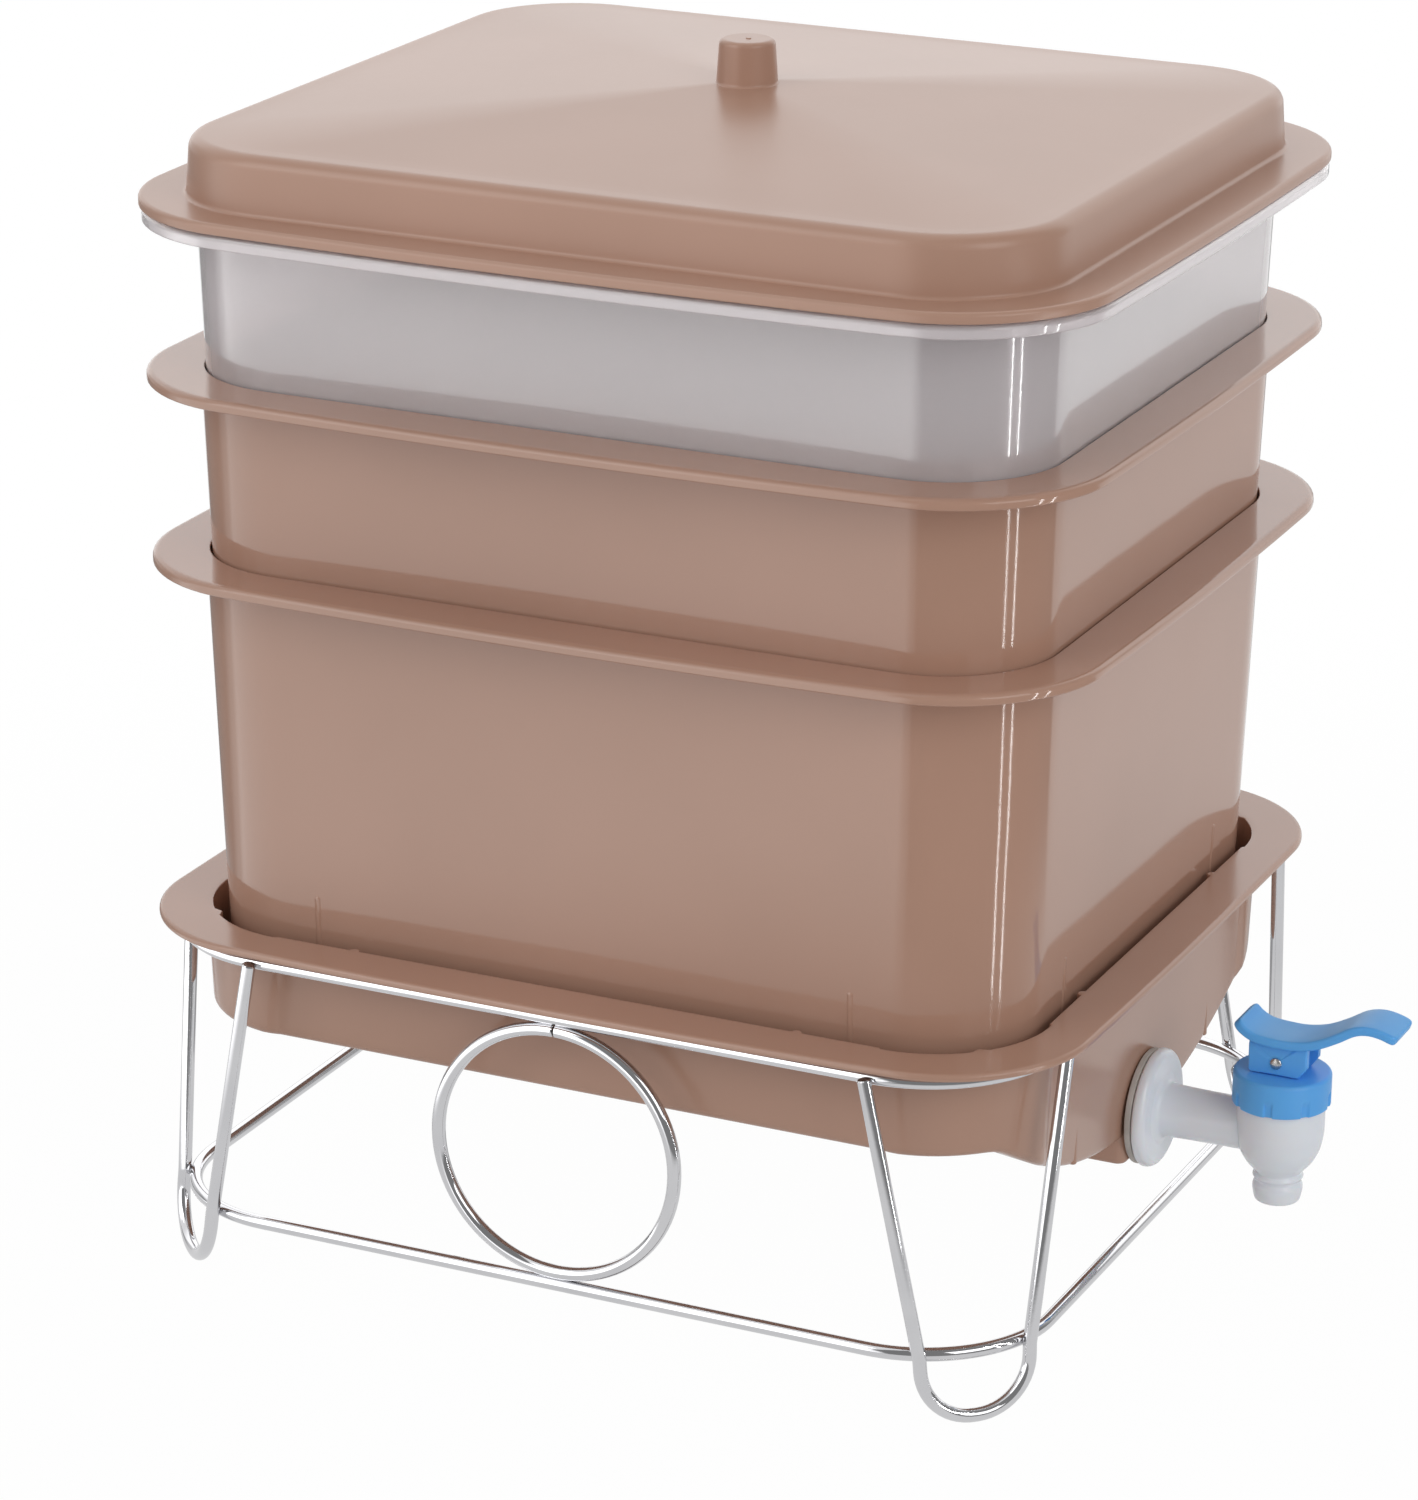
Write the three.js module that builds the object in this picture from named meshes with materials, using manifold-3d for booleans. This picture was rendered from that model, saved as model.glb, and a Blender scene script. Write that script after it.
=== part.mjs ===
// A stacking worm composter on a chromed wire stand. From the floor up: the stand, a collection
// tank with a sloping sump and a drain tap, two taupe working trays, a clear working tray, a lid.
// Millimetres, +Z up, the tap on the +X side. The floor is z = 0 and the origin is the middle of
// the whole outline, so the stack stands a little to the -X side of it.
import * as THREE from 'three';
import { mergeVertices } from 'three/addons/utils/BufferGeometryUtils.js';
import Module from 'manifold-3d';

const wasm = await Module();
wasm.setup();

// Driving dimensions
const seat = 0.3;               // gap kept where one piece rests on another
const overrun = 1;              // how far a cutting tool runs past what it cuts
const weldTolerance = 0.0001;   // points of a mesh that are closer than this are one point
const wire = {
  diameter: 5,
  sides: 8,
};

// Working trays
const tray = {
  length: 324.6,                // of the wall's outside, at the flange
  width: 279.6,
  corner: 44,
  rim: { x: 15.5, y: 14.2, corner: 7, bowX: 3, bowY: 6.4 },  // what the flange adds on each side
  depth: 152.2,
  clearDepth: 143.5,
  wall: 1.5,
  nestGap: 0.38,                // left between a tray's wall and the mouth that it drops into
  plate: 2.2,                   // thickness of the flange
  lipDepth: 4,
  lipThickness: 1.8,
  floor: 2.2,
  bottomChamfer: 3,             // outside, where the wall turns into the floor
  innerChamfer: 1,
  tankNest: 17.8,               // how deep the lowest tray's floor lies below the tank's flange
  nest: 85.3,                   // how deep each next floor lies below the flange under it
  holeRadius: 3.2,
  holePitch: 42,
  ribThickness: 3,
  ribReach: 8,
  ribAlong: 70,
  ribAcross: 55,
  guideReach: 0.4,              // low guide ribs on the outside, near the floor
  guideThickness: 2,
  guideHeight: 26,
  guideBase: 8,
  guideAlong: 14.3,             // from the corner's start in to a guide rib, on the long side
  guideAcross: 21.8,            // the same on the short side
};

// Collection tank
const tank = {
  gap: { x: 3.94, y: 5.74 },    // between the lowest tray's wall and the tank's mouth
  rim: { x: 16.8, y: 14.8, corner: 6, bowX: 2.2, bowY: 5.1 },
  flangeThickness: 2.7,
  wall: 1.8,
  draftShare: 0.035,
  cornerOutset: 1.2,            // the corners stand out from the long flats by this
  cornerLength: { x: 40.9, y: 43.2 },
  sideDepth: 38.8,              // flange to the bottom edge of the long sides
  sumpDepth: 76.1,              // flange to the lowest line of the sloping sump
  sumpRadius: 225,
  sumpLength: 297,              // the sump has risen to the side depth this far from the tap's wall
  ribThickness: 3,
  ribReach: 14,
  ribAlong: 60,
  ribAcross: 66,
};

// Drain pocket in the tank, which holds the nut and the seals of the tap
const pocket = {
  wall: 2,
  corner: 4,
  sideRoom: 2.8,
  floorRoom: 0.9,
  endRoom: 11,
};

// Stand: two loops of wire round the tank, and four hairpin legs
const loop = {
  clearance: { x: 1.1, y: 7.7 },  // between the tank's corners and the wire
  cornerMargin: 2.1,            // the loop's corners are rounder than the tank's by this
  bottomHeight: 25.6,           // floor to the centre of the lower loop
  spacing: 102,                 // between the two loops, centre to centre
};
const leg = {
  topAlong: 0.3,                // from the corner's start to a strand's top, on the long side
  topAcross: -1.5,              // the same on the short side, where it stands past that start
  weldAlong: 18.8,              // how far past the corner's start it meets the lower loop
  weldAcross: 17.9,
  bendRadius: 19.8,             // the turn that stands on the floor
  splay: 2.6,                   // how far the foot stands out from the two welds
  topAbove: 0.9,                // the cut end stands this much above the loop's centre
};

// Lid
const lid = {
  overhang: { x: 0.3, y: 1 },   // past the trays' flanges
  ledge: { x: 14.6, y: 10.5, corner: 6 },  // from the flange's edge in to the crown
  flangeThickness: 4,
  skirt: 20.5,                  // height of the crown's side above the flange
  skirtDraft: 1.6,
  edgeRadius: 5,
  rise: 10.2,                   // of the shallow pyramid, from its edge to its middle
  wall: 2.2,
  knobRadius: 10.9,
  knobTaper: 1,
  knobHeight: 15.2,
  knobEdge: 1.6,
};

// Drain tap. Its heights are measured from the barrel's axis.
const tap = {
  axisRise: 8.2,                // of the barrel's axis above the lowest line of the sump
  boreRadius: 5,
  stubWall: 5,
  stubEnd: 3.4,                 // what shows of the stub behind the nut
  barrelWall: 4.6,
  washerRadius: 21.4,
  washerThickness: 2.4,
  discLap: 0.6,
  discThickness: 4.8,
  reach: 52.5,                  // tank wall to the valve's axis
  chamberRoom: 3,               // round the plug
  chamberWall: 5,
  seatDrop: 11.2,
  nozzle: 15.4,                 // length of the nozzle below the valve's seat
  nozzleWall: 2.6,
  bead: 1.5,
  nutWall: 2,
  nutThickness: 7,
  innerWasherLap: 0.2,
  innerWasherThickness: 2,
};
const collar = {
  wall: 1.8,
  aboveBarrel: 1.8,
  height: 12.6,
  roof: 3.4,
  threadLap: 2.2,
  threadGap: 0.4,
  chamfer: 1.6,
  springRoom: 2.4,
  stemGap: 0.5,
  gripCount: 8,
  gripWidth: 3,
  gripDepth: 0.8,
  gripHeight: 5,
};
const stem = {
  radius: 2.8,
  footThickness: 2,
  plugLap: 3,                   // of the plug over the edge of the bore
  plugThickness: 5.2,
  eyeWall: 1.6,
  slotGap: 0.8,                 // each side of the eye, between the lever's cheeks
  pinRise: 5,                   // of the pin above the collar
  pinRadius: 1.5,
  pinHeadLap: 0.8,
  pinHeadThickness: 0.8,
};
const spring = {
  gap: 1.8,                     // round the stem
  wire: 1.4,
};
const lever = {
  width: 20,
  thickness: 3.6,
  cheekThickness: 3,
  cheekInset: 2,
  cheekBack: 10.5,
  cheekFront: 11,
  backRadius: 1.2,              // of a cheek's lower corners
  frontRadius: 4,
  reach: 45,                    // pin to the tip
  back: 14,                     // pin to the rear edge
  saddleRise: 10.2,             // of the paddle's lowest dip above the pin
  crestLift: 10.5,              // of its crest above that dip
};
// Along the paddle's top, as a share of its length and of the crest's lift
const paddleShares = [
  [0, 0.486], [0.11, 0.131], [0.25, 0], [0.4, 0.08], [0.58, 0.5], [0.74, 0.92], [0.86, 1], [1, 0.762],
];
// Up the nozzle, as a share of its length and of its beads
const nozzleShares = [[0, 0], [0.15, 1], [0.25, 1], [0.35, 0.5], [0.45, 1], [0.6, 0.5]];
const neckShare = 0.75;         // where the nozzle has widened to the barrel's radius
const shoulderShare = 0.8;      // of the chamber's radius, at the valve's seat

// Number of flats on round pieces
const round = 24;
const roundMedium = 16;
const roundSmall = 12;
const holeSides = 6;
const nutSides = 6;
const cheekSteps = 3;
const pocketSteps = 3;
const edgeSteps = 3;
const paddleSteps = 20;
const cornerSteps = 5;
const sideSteps = 4;
const bendSteps = 9;
const ringSteps = 36;
const troughSteps = 90;

// Sizes that follow. In each, x and y are half of the outline's length and width, and one that is
// grown grows alike on every side and in its corners.
function grown(size, by) {
  return { ...size, x: size.x + by, y: size.y + by, corner: size.corner + by };
}
const trayBody = { x: tray.length / 2, y: tray.width / 2, corner: tray.corner };
const leastRise = Math.min(tray.depth, tray.clearDepth) - tray.nest;
const leanShare = (tray.wall + tray.nestGap) / leastRise;
const trayFlange = {
  x: trayBody.x + tray.rim.x,
  y: trayBody.y + tray.rim.y,
  corner: trayBody.corner + tray.rim.corner,
  bowX: tray.rim.bowX,
  bowY: tray.rim.bowY,
};
const trayAtTank = grown(trayBody, -leanShare * (tray.depth - tray.tankNest));
const tankMouth = {
  x: trayAtTank.x + tank.gap.x,
  y: trayAtTank.y + tank.gap.y,
  corner: trayAtTank.corner + tank.gap.x,
};
const tankFlange = {
  x: tankMouth.x + tank.rim.x,
  y: tankMouth.y + tank.rim.y,
  corner: tankMouth.corner + tank.rim.corner,
  bowX: tank.rim.bowX,
  bowY: tank.rim.bowY,
};
const lidFlange = {
  ...trayFlange,
  x: trayFlange.x + lid.overhang.x,
  y: trayFlange.y + lid.overhang.y,
};
const crown = {
  x: lidFlange.x - lid.ledge.x,
  y: lidFlange.y - lid.ledge.y,
  corner: lidFlange.corner - lid.ledge.corner,
};
const wireRadius = wire.diameter / 2;
const wireFacet = wireRadius * Math.cos(Math.PI / wire.sides);
const tankOutside = tank.wall + tank.cornerOutset;
const loopSize = {
  x: tankMouth.x + tankOutside + loop.clearance.x + wireRadius,
  y: tankMouth.y + tankOutside + loop.clearance.y + wireRadius,
  corner: tankMouth.corner + tankOutside + loop.cornerMargin,
};
const straightX = loopSize.x - loopSize.corner;
const straightY = loopSize.y - loopSize.corner;

// Heights of the stack
const topLoopHeight = loop.bottomHeight + loop.spacing;
const tankTop = topLoopHeight + wireRadius + seat + tank.flangeThickness;
const lowerTop = tankTop + tray.depth - tray.tankNest;
const middleTop = lowerTop + tray.depth - tray.nest;
const clearTop = middleTop + tray.clearDepth - tray.nest;
const lidBottom = clearTop + seat;

// Sizes of the tap
const tapHeight = tankTop - tank.sumpDepth + tap.axisRise;
const padFace = tankMouth.x + tank.wall - tank.draftShare * (tank.sideDepth + tank.flangeThickness);
const valveX = padFace + tap.reach;
const stubRadius = tap.boreRadius + tap.stubWall;
const stubLength = pocket.wall + tap.innerWasherThickness + tap.nutThickness + tap.stubEnd + 2 * seat;
const barrelRadius = tap.boreRadius + tap.barrelWall;
const nutRadius = (stubRadius + seat + tap.nutWall) / Math.cos(Math.PI / nutSides);
const pocketHalfWidth = nutRadius + pocket.sideRoom + pocket.wall;
const pocketLow = tapHeight - nutRadius - pocket.floorRoom - pocket.wall;
const pocketLength = stubLength + pocket.endRoom;
const plugRadius = tap.boreRadius + stem.plugLap;
const chamberRadius = plugRadius + tap.chamberRoom;
const chamberOuter = chamberRadius + tap.chamberWall;
const seatHeight = -tap.seatDrop;
const collarRadius = chamberOuter + collar.wall;
const collarBottom = barrelRadius + collar.aboveBarrel;
const collarTop = collarBottom + collar.height;
const collarCeiling = collarTop - collar.roof;
const chamberTop = collarBottom + collar.threadLap;
const springInner = stem.radius + spring.gap;
const springOuter = springInner + spring.wire;
const plugBottom = seatHeight + seat;
const footBottom = plugBottom + stem.plugThickness + seat;
const springBottom = footBottom + stem.footThickness + seat;
const pinHeight = collarTop + stem.pinRise;
const eyeReach = stem.pinRadius + seat + stem.eyeWall;
const cheekOuter = lever.width / 2 - lever.cheekInset;
const slotHalf = cheekOuter - lever.cheekThickness;
const heelDrop = stem.pinRise - seat;

// The origin is the middle of everything, from the trays' far flange to the lever's tip
const stackReach = Math.max(
  trayFlange.x + trayFlange.bowX,
  tankFlange.x + tankFlange.bowX,
  lidFlange.x + lidFlange.bowX,
);
const stackOffset = -(valveX + lever.reach - stackReach) / 2;

// Materials
const taupe = { color: 0xb59282, roughness: 0.42, metalness: 0 };
const clear = { color: 0xd6d3d2, roughness: 0.25, metalness: 0, transparent: true, opacity: 0.45 };
const chrome = { color: 0xd8d9da, roughness: 0.12, metalness: 1 };
const white = { color: 0xe9ebf2, roughness: 0.35, metalness: 0 };
const blue = { color: 0x3f9be8, roughness: 0.35, metalness: 0 };
const rubber = { color: 0x8b8478, roughness: 0.8, metalness: 0 };
const steel = { color: 0xbfc0c2, roughness: 0.3, metalness: 1 };

// One level of a moulding: a rounded rectangle, anticlockwise, whose sides may bow outwards.
// A size of { x, y } is half of the rectangle, and grow moves every side out by the same amount.
function level(size, z, grow = 0) {
  const { x, y, corner, bowX = 0, bowY = 0 } = size;
  const halfX = x + grow;
  const halfY = y + grow;
  const radius = corner + grow;
  const points = [];
  for (const [signX, signY, turn] of [[1, -1, -1], [1, 1, 0], [-1, 1, 1], [-1, -1, 2]]) {
    for (let i = 0; i <= cornerSteps; i += 1) {
      const angle = (turn + i / cornerSteps) * Math.PI / 2;
      points.push([
        signX * (halfX - radius) + radius * Math.cos(angle),
        signY * (halfY - radius) + radius * Math.sin(angle),
      ]);
    }
  }
  const ring = [];
  const perCorner = cornerSteps + 1;
  points.forEach(([px, py], i) => {
    ring.push([px, py]);
    if (i % perCorner === cornerSteps) {
      const [nx, ny] = points[(i + 1) % points.length];
      for (let s = 1; s < sideSteps; s += 1) {
        const t = s / sideSteps;
        ring.push([px + (nx - px) * t, py + (ny - py) * t]);
      }
    }
  });
  return ring.map(([px, py]) => [
    px * (1 + bowX / halfX * (1 - (py / halfY) ** 2)),
    py * (1 + bowY / halfY * (1 - (px / halfX) ** 2)),
    z,
  ]);
}

// A closed body through a run of levels. Either both ends are closed by a fan to a middle point,
// at the heights given, or the last level joins the first again and the body is a ring.
function loft(levels, bottom, top) {
  const count = levels[0].length;
  const positions = levels.flat(2);
  const index = [];
  const strips = bottom === undefined ? levels.length : levels.length - 1;
  for (let k = 0; k < strips; k += 1) {
    const lower = k * count;
    const upper = ((k + 1) % levels.length) * count;
    for (let j = 0; j < count; j += 1) {
      const next = (j + 1) % count;
      index.push(lower + j, lower + next, upper + next, lower + j, upper + next, upper + j);
    }
  }
  if (bottom !== undefined) {
    const first = positions.length / 3;
    positions.push(0, 0, bottom, 0, 0, top);
    const last = (levels.length - 1) * count;
    for (let j = 0; j < count; j += 1) {
      const next = (j + 1) % count;
      index.push(first, next, j, first + 1, last + j, last + next);
    }
  }
  const geometry = new THREE.BufferGeometry();
  geometry.setAttribute('position', new THREE.Float32BufferAttribute(positions, 3));
  geometry.setIndex(index);
  return geometry;
}

// A round wire along a row of points. Its facets face the hint, so a foot stands on a flat one.
function sweep(points, hint, radius, sides) {
  const positions = [];
  const index = [];
  const last = points.length - 1;
  points.forEach((point, k) => {
    const before = points[Math.max(k - 1, 0)];
    const after = points[Math.min(k + 1, last)];
    const tangent = after.clone().sub(before).normalize();
    const side = hint.clone().addScaledVector(tangent, -hint.dot(tangent)).normalize();
    const other = tangent.clone().cross(side);
    for (let j = 0; j < sides; j += 1) {
      const angle = (j + 0.5) / sides * 2 * Math.PI;
      const place = point.clone()
        .addScaledVector(side, radius * Math.cos(angle))
        .addScaledVector(other, radius * Math.sin(angle));
      positions.push(place.x, place.y, place.z);
    }
  });
  for (let k = 0; k < last; k += 1) {
    for (let j = 0; j < sides; j += 1) {
      const a = k * sides + j;
      const b = k * sides + (j + 1) % sides;
      index.push(a, b, b + sides, a, b + sides, a + sides);
    }
  }
  for (let j = 1; j < sides - 1; j += 1) {
    index.push(0, j + 1, j, last * sides, last * sides + j, last * sides + j + 1);
  }
  const geometry = new THREE.BufferGeometry();
  geometry.setAttribute('position', new THREE.Float32BufferAttribute(positions, 3));
  geometry.setIndex(index);
  return geometry;
}

// Between three.js geometry and solids that can be joined and cut
function solid(geometry) {
  const bare = geometry.clone();
  bare.deleteAttribute('normal');
  bare.deleteAttribute('uv');
  const merged = mergeVertices(bare, weldTolerance);
  return new wasm.Manifold(new wasm.Mesh({
    numProp: 3,
    vertProperties: Float32Array.from(merged.attributes.position.array),
    triVerts: Uint32Array.from(merged.index.array),
  }));
}
function geometryOf(manifold) {
  const mesh = manifold.getMesh();
  const geometry = new THREE.BufferGeometry();
  geometry.setAttribute('position', new THREE.Float32BufferAttribute(mesh.vertProperties, 3));
  geometry.setIndex(Array.from(mesh.triVerts));
  return geometry;
}
function box(x0, x1, y0, y1, z0, z1) {
  const geometry = new THREE.BoxGeometry(x1 - x0, y1 - y0, z1 - z0);
  return solid(geometry.translate((x0 + x1) / 2, (y0 + y1) / 2, (z0 + z1) / 2));
}

// A turned piece: the outline runs anticlockwise in (radius, height), about a vertical axis
function turned(outline, segments) {
  const points = outline.map(([r, z]) => new THREE.Vector2(r, z));
  if (outline[0][0] !== 0) {
    points.push(points[0].clone());
  }
  return new THREE.LatheGeometry(points, segments).rotateX(Math.PI / 2);
}
// The same about an axis along X, its heights measured in +X from the place given
function turnedAlongX(outline, segments, x, z) {
  return turned(outline, segments).rotateY(Math.PI / 2).translate(x, 0, z);
}
function rod(radius, from, to) {
  return [[0, from], [radius, from], [radius, to], [0, to]];
}

const part = new THREE.Group();
part.position.x = stackOffset;
function add(name, geometry, look) {
  const bare = geometry.clone();
  bare.deleteAttribute('normal');
  bare.deleteAttribute('uv');
  const mesh = new THREE.Mesh(mergeVertices(bare, weldTolerance), new THREE.MeshStandardMaterial(look));
  mesh.name = name;
  part.add(mesh);
}

// Stand: two closed wire loops, one above the other
function wireLoop(height) {
  const levels = [];
  for (let j = 0; j < wire.sides; j += 1) {
    const angle = (j + 0.5) / wire.sides * 2 * Math.PI;
    levels.push(level(loopSize, height + wireRadius * Math.sin(angle), wireRadius * Math.cos(angle)));
  }
  return loft(levels);
}
add('top_loop', wireLoop(topLoopHeight), chrome);
add('bottom_loop', wireLoop(loop.bottomHeight), chrome);

// Legs: one hairpin round each corner, welded to the outside of both loops
const outside = wire.diameter + seat;
function hairpin(signX, signY) {
  const along = Math.asin(leg.weldAlong / loopSize.corner);
  const across = Math.asin(leg.weldAcross / loopSize.corner);
  const weldRadius = loopSize.corner + outside;
  const topZ = topLoopHeight + leg.topAbove;
  const flatStep = Math.PI / bendSteps / 2;
  const bendZ = (wireFacet + leg.bendRadius) * Math.cos(flatStep);
  const topA = new THREE.Vector3(straightX - leg.topAlong, -(loopSize.y + outside), topZ);
  const topB = new THREE.Vector3(loopSize.x + outside, -(straightY - leg.topAcross), topZ);
  const weldA = new THREE.Vector3(
    straightX + weldRadius * Math.sin(along),
    -(straightY + weldRadius * Math.cos(along)),
    loop.bottomHeight,
  );
  const weldB = new THREE.Vector3(
    straightX + weldRadius * Math.cos(across),
    -(straightY + weldRadius * Math.sin(across)),
    loop.bottomHeight,
  );
  const chord = weldB.clone().sub(weldA).normalize();
  const outward = new THREE.Vector3(chord.y, -chord.x, 0);
  const foot = weldA.clone().add(weldB).multiplyScalar(0.5).addScaledVector(outward, leg.splay);
  const bend = [];
  for (let i = 0; i <= bendSteps; i += 1) {
    const angle = (i / bendSteps - 0.5) * Math.PI;
    const point = foot.clone().addScaledVector(chord, leg.bendRadius * Math.sin(angle));
    point.z = bendZ - leg.bendRadius * Math.cos(angle);
    bend.push(point);
  }
  const path = [topA, weldA, ...bend, weldB, topB];
  const mirrored = path.map((p) => new THREE.Vector3(p.x * signX, -p.y * signY, p.z));
  const hint = new THREE.Vector3(outward.x * signX, -outward.y * signY, 0);
  return sweep(mirrored, hint, wireRadius, wire.sides);
}
add('leg_tap_front', hairpin(1, -1), chrome);
add('leg_tap_back', hairpin(1, 1), chrome);
add('leg_end_front', hairpin(-1, -1), chrome);
add('leg_end_back', hairpin(-1, 1), chrome);

// Rings that brace the two loops in the middle of each long side
const ringRadius = (loop.spacing - wire.diameter) / 2 - seat - wireRadius;
function braceRing(sign) {
  const geometry = new THREE.TorusGeometry(ringRadius, wireRadius, wire.sides, ringSteps);
  geometry.rotateX(Math.PI / 2);
  return geometry.translate(0, sign * loopSize.y, (topLoopHeight + loop.bottomHeight) / 2);
}
add('ring_front', braceRing(-1), chrome);
add('ring_back', braceRing(1), chrome);

// Collection tank: a drafted body under a flat flange. Its floor is flat at the sides and falls
// to the tap's wall in a wide round trough, which is a cylinder laid at a slope.
function drafted(size, top, bottom, grow) {
  const fall = tank.draftShare * (top - bottom);
  return solid(loft([level(size, bottom, grow - fall), level(size, top, grow)], bottom, top));
}
function tankSpace(grow, floorZ, sumpRadius, top) {
  const deep = pocketLow - overrun;
  const narrow = drafted(tankMouth, top, deep, grow);
  const wide = drafted(tankMouth, top, deep, grow + tank.cornerOutset);
  const reachX = tankFlange.x;
  const reachY = tankFlange.y;
  const flatX = tankMouth.x - tank.cornerLength.x;
  const flatY = tankMouth.y - tank.cornerLength.y;
  const flats = box(-flatX, flatX, -reachY, reachY, deep - overrun, top + overrun)
    .add(box(-reachX, reachX, -flatY, flatY, deep - overrun, top + overrun));
  const body = narrow.add(wide.subtract(flats));
  const slope = Math.atan2(tank.sumpDepth - tank.sideDepth, tank.sumpLength);
  const length = 2 * (tank.sumpLength + tankFlange.x);
  const trough = new THREE.CylinderGeometry(sumpRadius, sumpRadius, length, troughSteps)
    .rotateZ(Math.PI / 2)
    .rotateY(slope)
    .translate(padFace, 0, tankTop - tank.sumpDepth + tank.sumpRadius / Math.cos(slope));
  const above = box(-reachX, reachX, -reachY, reachY, floorZ, top + overrun);
  return body.intersect(above.add(solid(trough)));
}
function pocketSpace(inset, low, high) {
  const shape = new THREE.Shape();
  const side = pocketHalfWidth - inset;
  const round = pocket.corner;
  shape.moveTo(-side, high);
  shape.lineTo(-side, low + round);
  shape.absarc(-side + round, low + round, round, Math.PI, 1.5 * Math.PI, false);
  shape.absarc(side - round, low + round, round, 1.5 * Math.PI, 2 * Math.PI, false);
  shape.lineTo(side, high);
  const geometry = new THREE.ExtrudeGeometry(shape, {
    depth: pocketLength - 2 * inset,
    bevelEnabled: false,
    curveSegments: pocketSteps,
  });
  geometry.rotateX(Math.PI / 2).rotateZ(Math.PI / 2);
  return solid(geometry.translate(padFace - pocketLength + inset, 0, 0));
}
function collectionTank() {
  const flangeBottom = tankTop - tank.flangeThickness;
  const floorZ = tankTop - tank.sideDepth;
  const pocketHigh = tankTop - tank.sideDepth - tank.flangeThickness;
  const rim = [level(tankFlange, flangeBottom), level(tankFlange, tankTop)];
  const plate = solid(loft(rim, flangeBottom, tankTop));
  const outer = tankSpace(tank.wall, floorZ, tank.sumpRadius, flangeBottom + overrun);
  const inner = tankSpace(0, floorZ + tank.wall, tank.sumpRadius - tank.wall, tankTop + overrun);
  const hole = solid(turnedAlongX(
    rod(stubRadius + seat, padFace - pocket.wall - overrun, padFace + overrun),
    round, 0, tapHeight,
  ));
  let shell = outer.add(plate).add(pocketSpace(0, pocketLow, pocketHigh));
  shell = shell
    .subtract(inner)
    .subtract(pocketSpace(pocket.wall, pocketLow + pocket.wall, pocketHigh + overrun));
  const ribTop = tankTop - tray.tankNest - seat;
  const half = tank.ribThickness / 2;
  const inX = tankMouth.x - tank.ribReach;
  const inY = tankMouth.y - tank.ribReach;
  const midWall = tank.wall / 2;
  const filled = tankSpace(midWall, floorZ + midWall, tank.sumpRadius - midWall, tankTop);
  for (const sign of [-1, 1]) {
    for (const place of [-tank.ribAlong, tank.ribAlong]) {
      const y = [sign * inY, sign * tankFlange.y].sort((a, b) => a - b);
      shell = shell.add(box(place - half, place + half, y[0], y[1], pocketLow, ribTop).intersect(filled));
    }
    for (const place of [-tank.ribAcross, tank.ribAcross]) {
      const x = [sign * inX, sign * tankFlange.x].sort((a, b) => a - b);
      shell = shell.add(box(x[0], x[1], place - half, place + half, pocketLow, ribTop).intersect(filled));
    }
  }
  return geometryOf(shell.subtract(hole));
}
add('collection_tank', collectionTank(), taupe);

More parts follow.
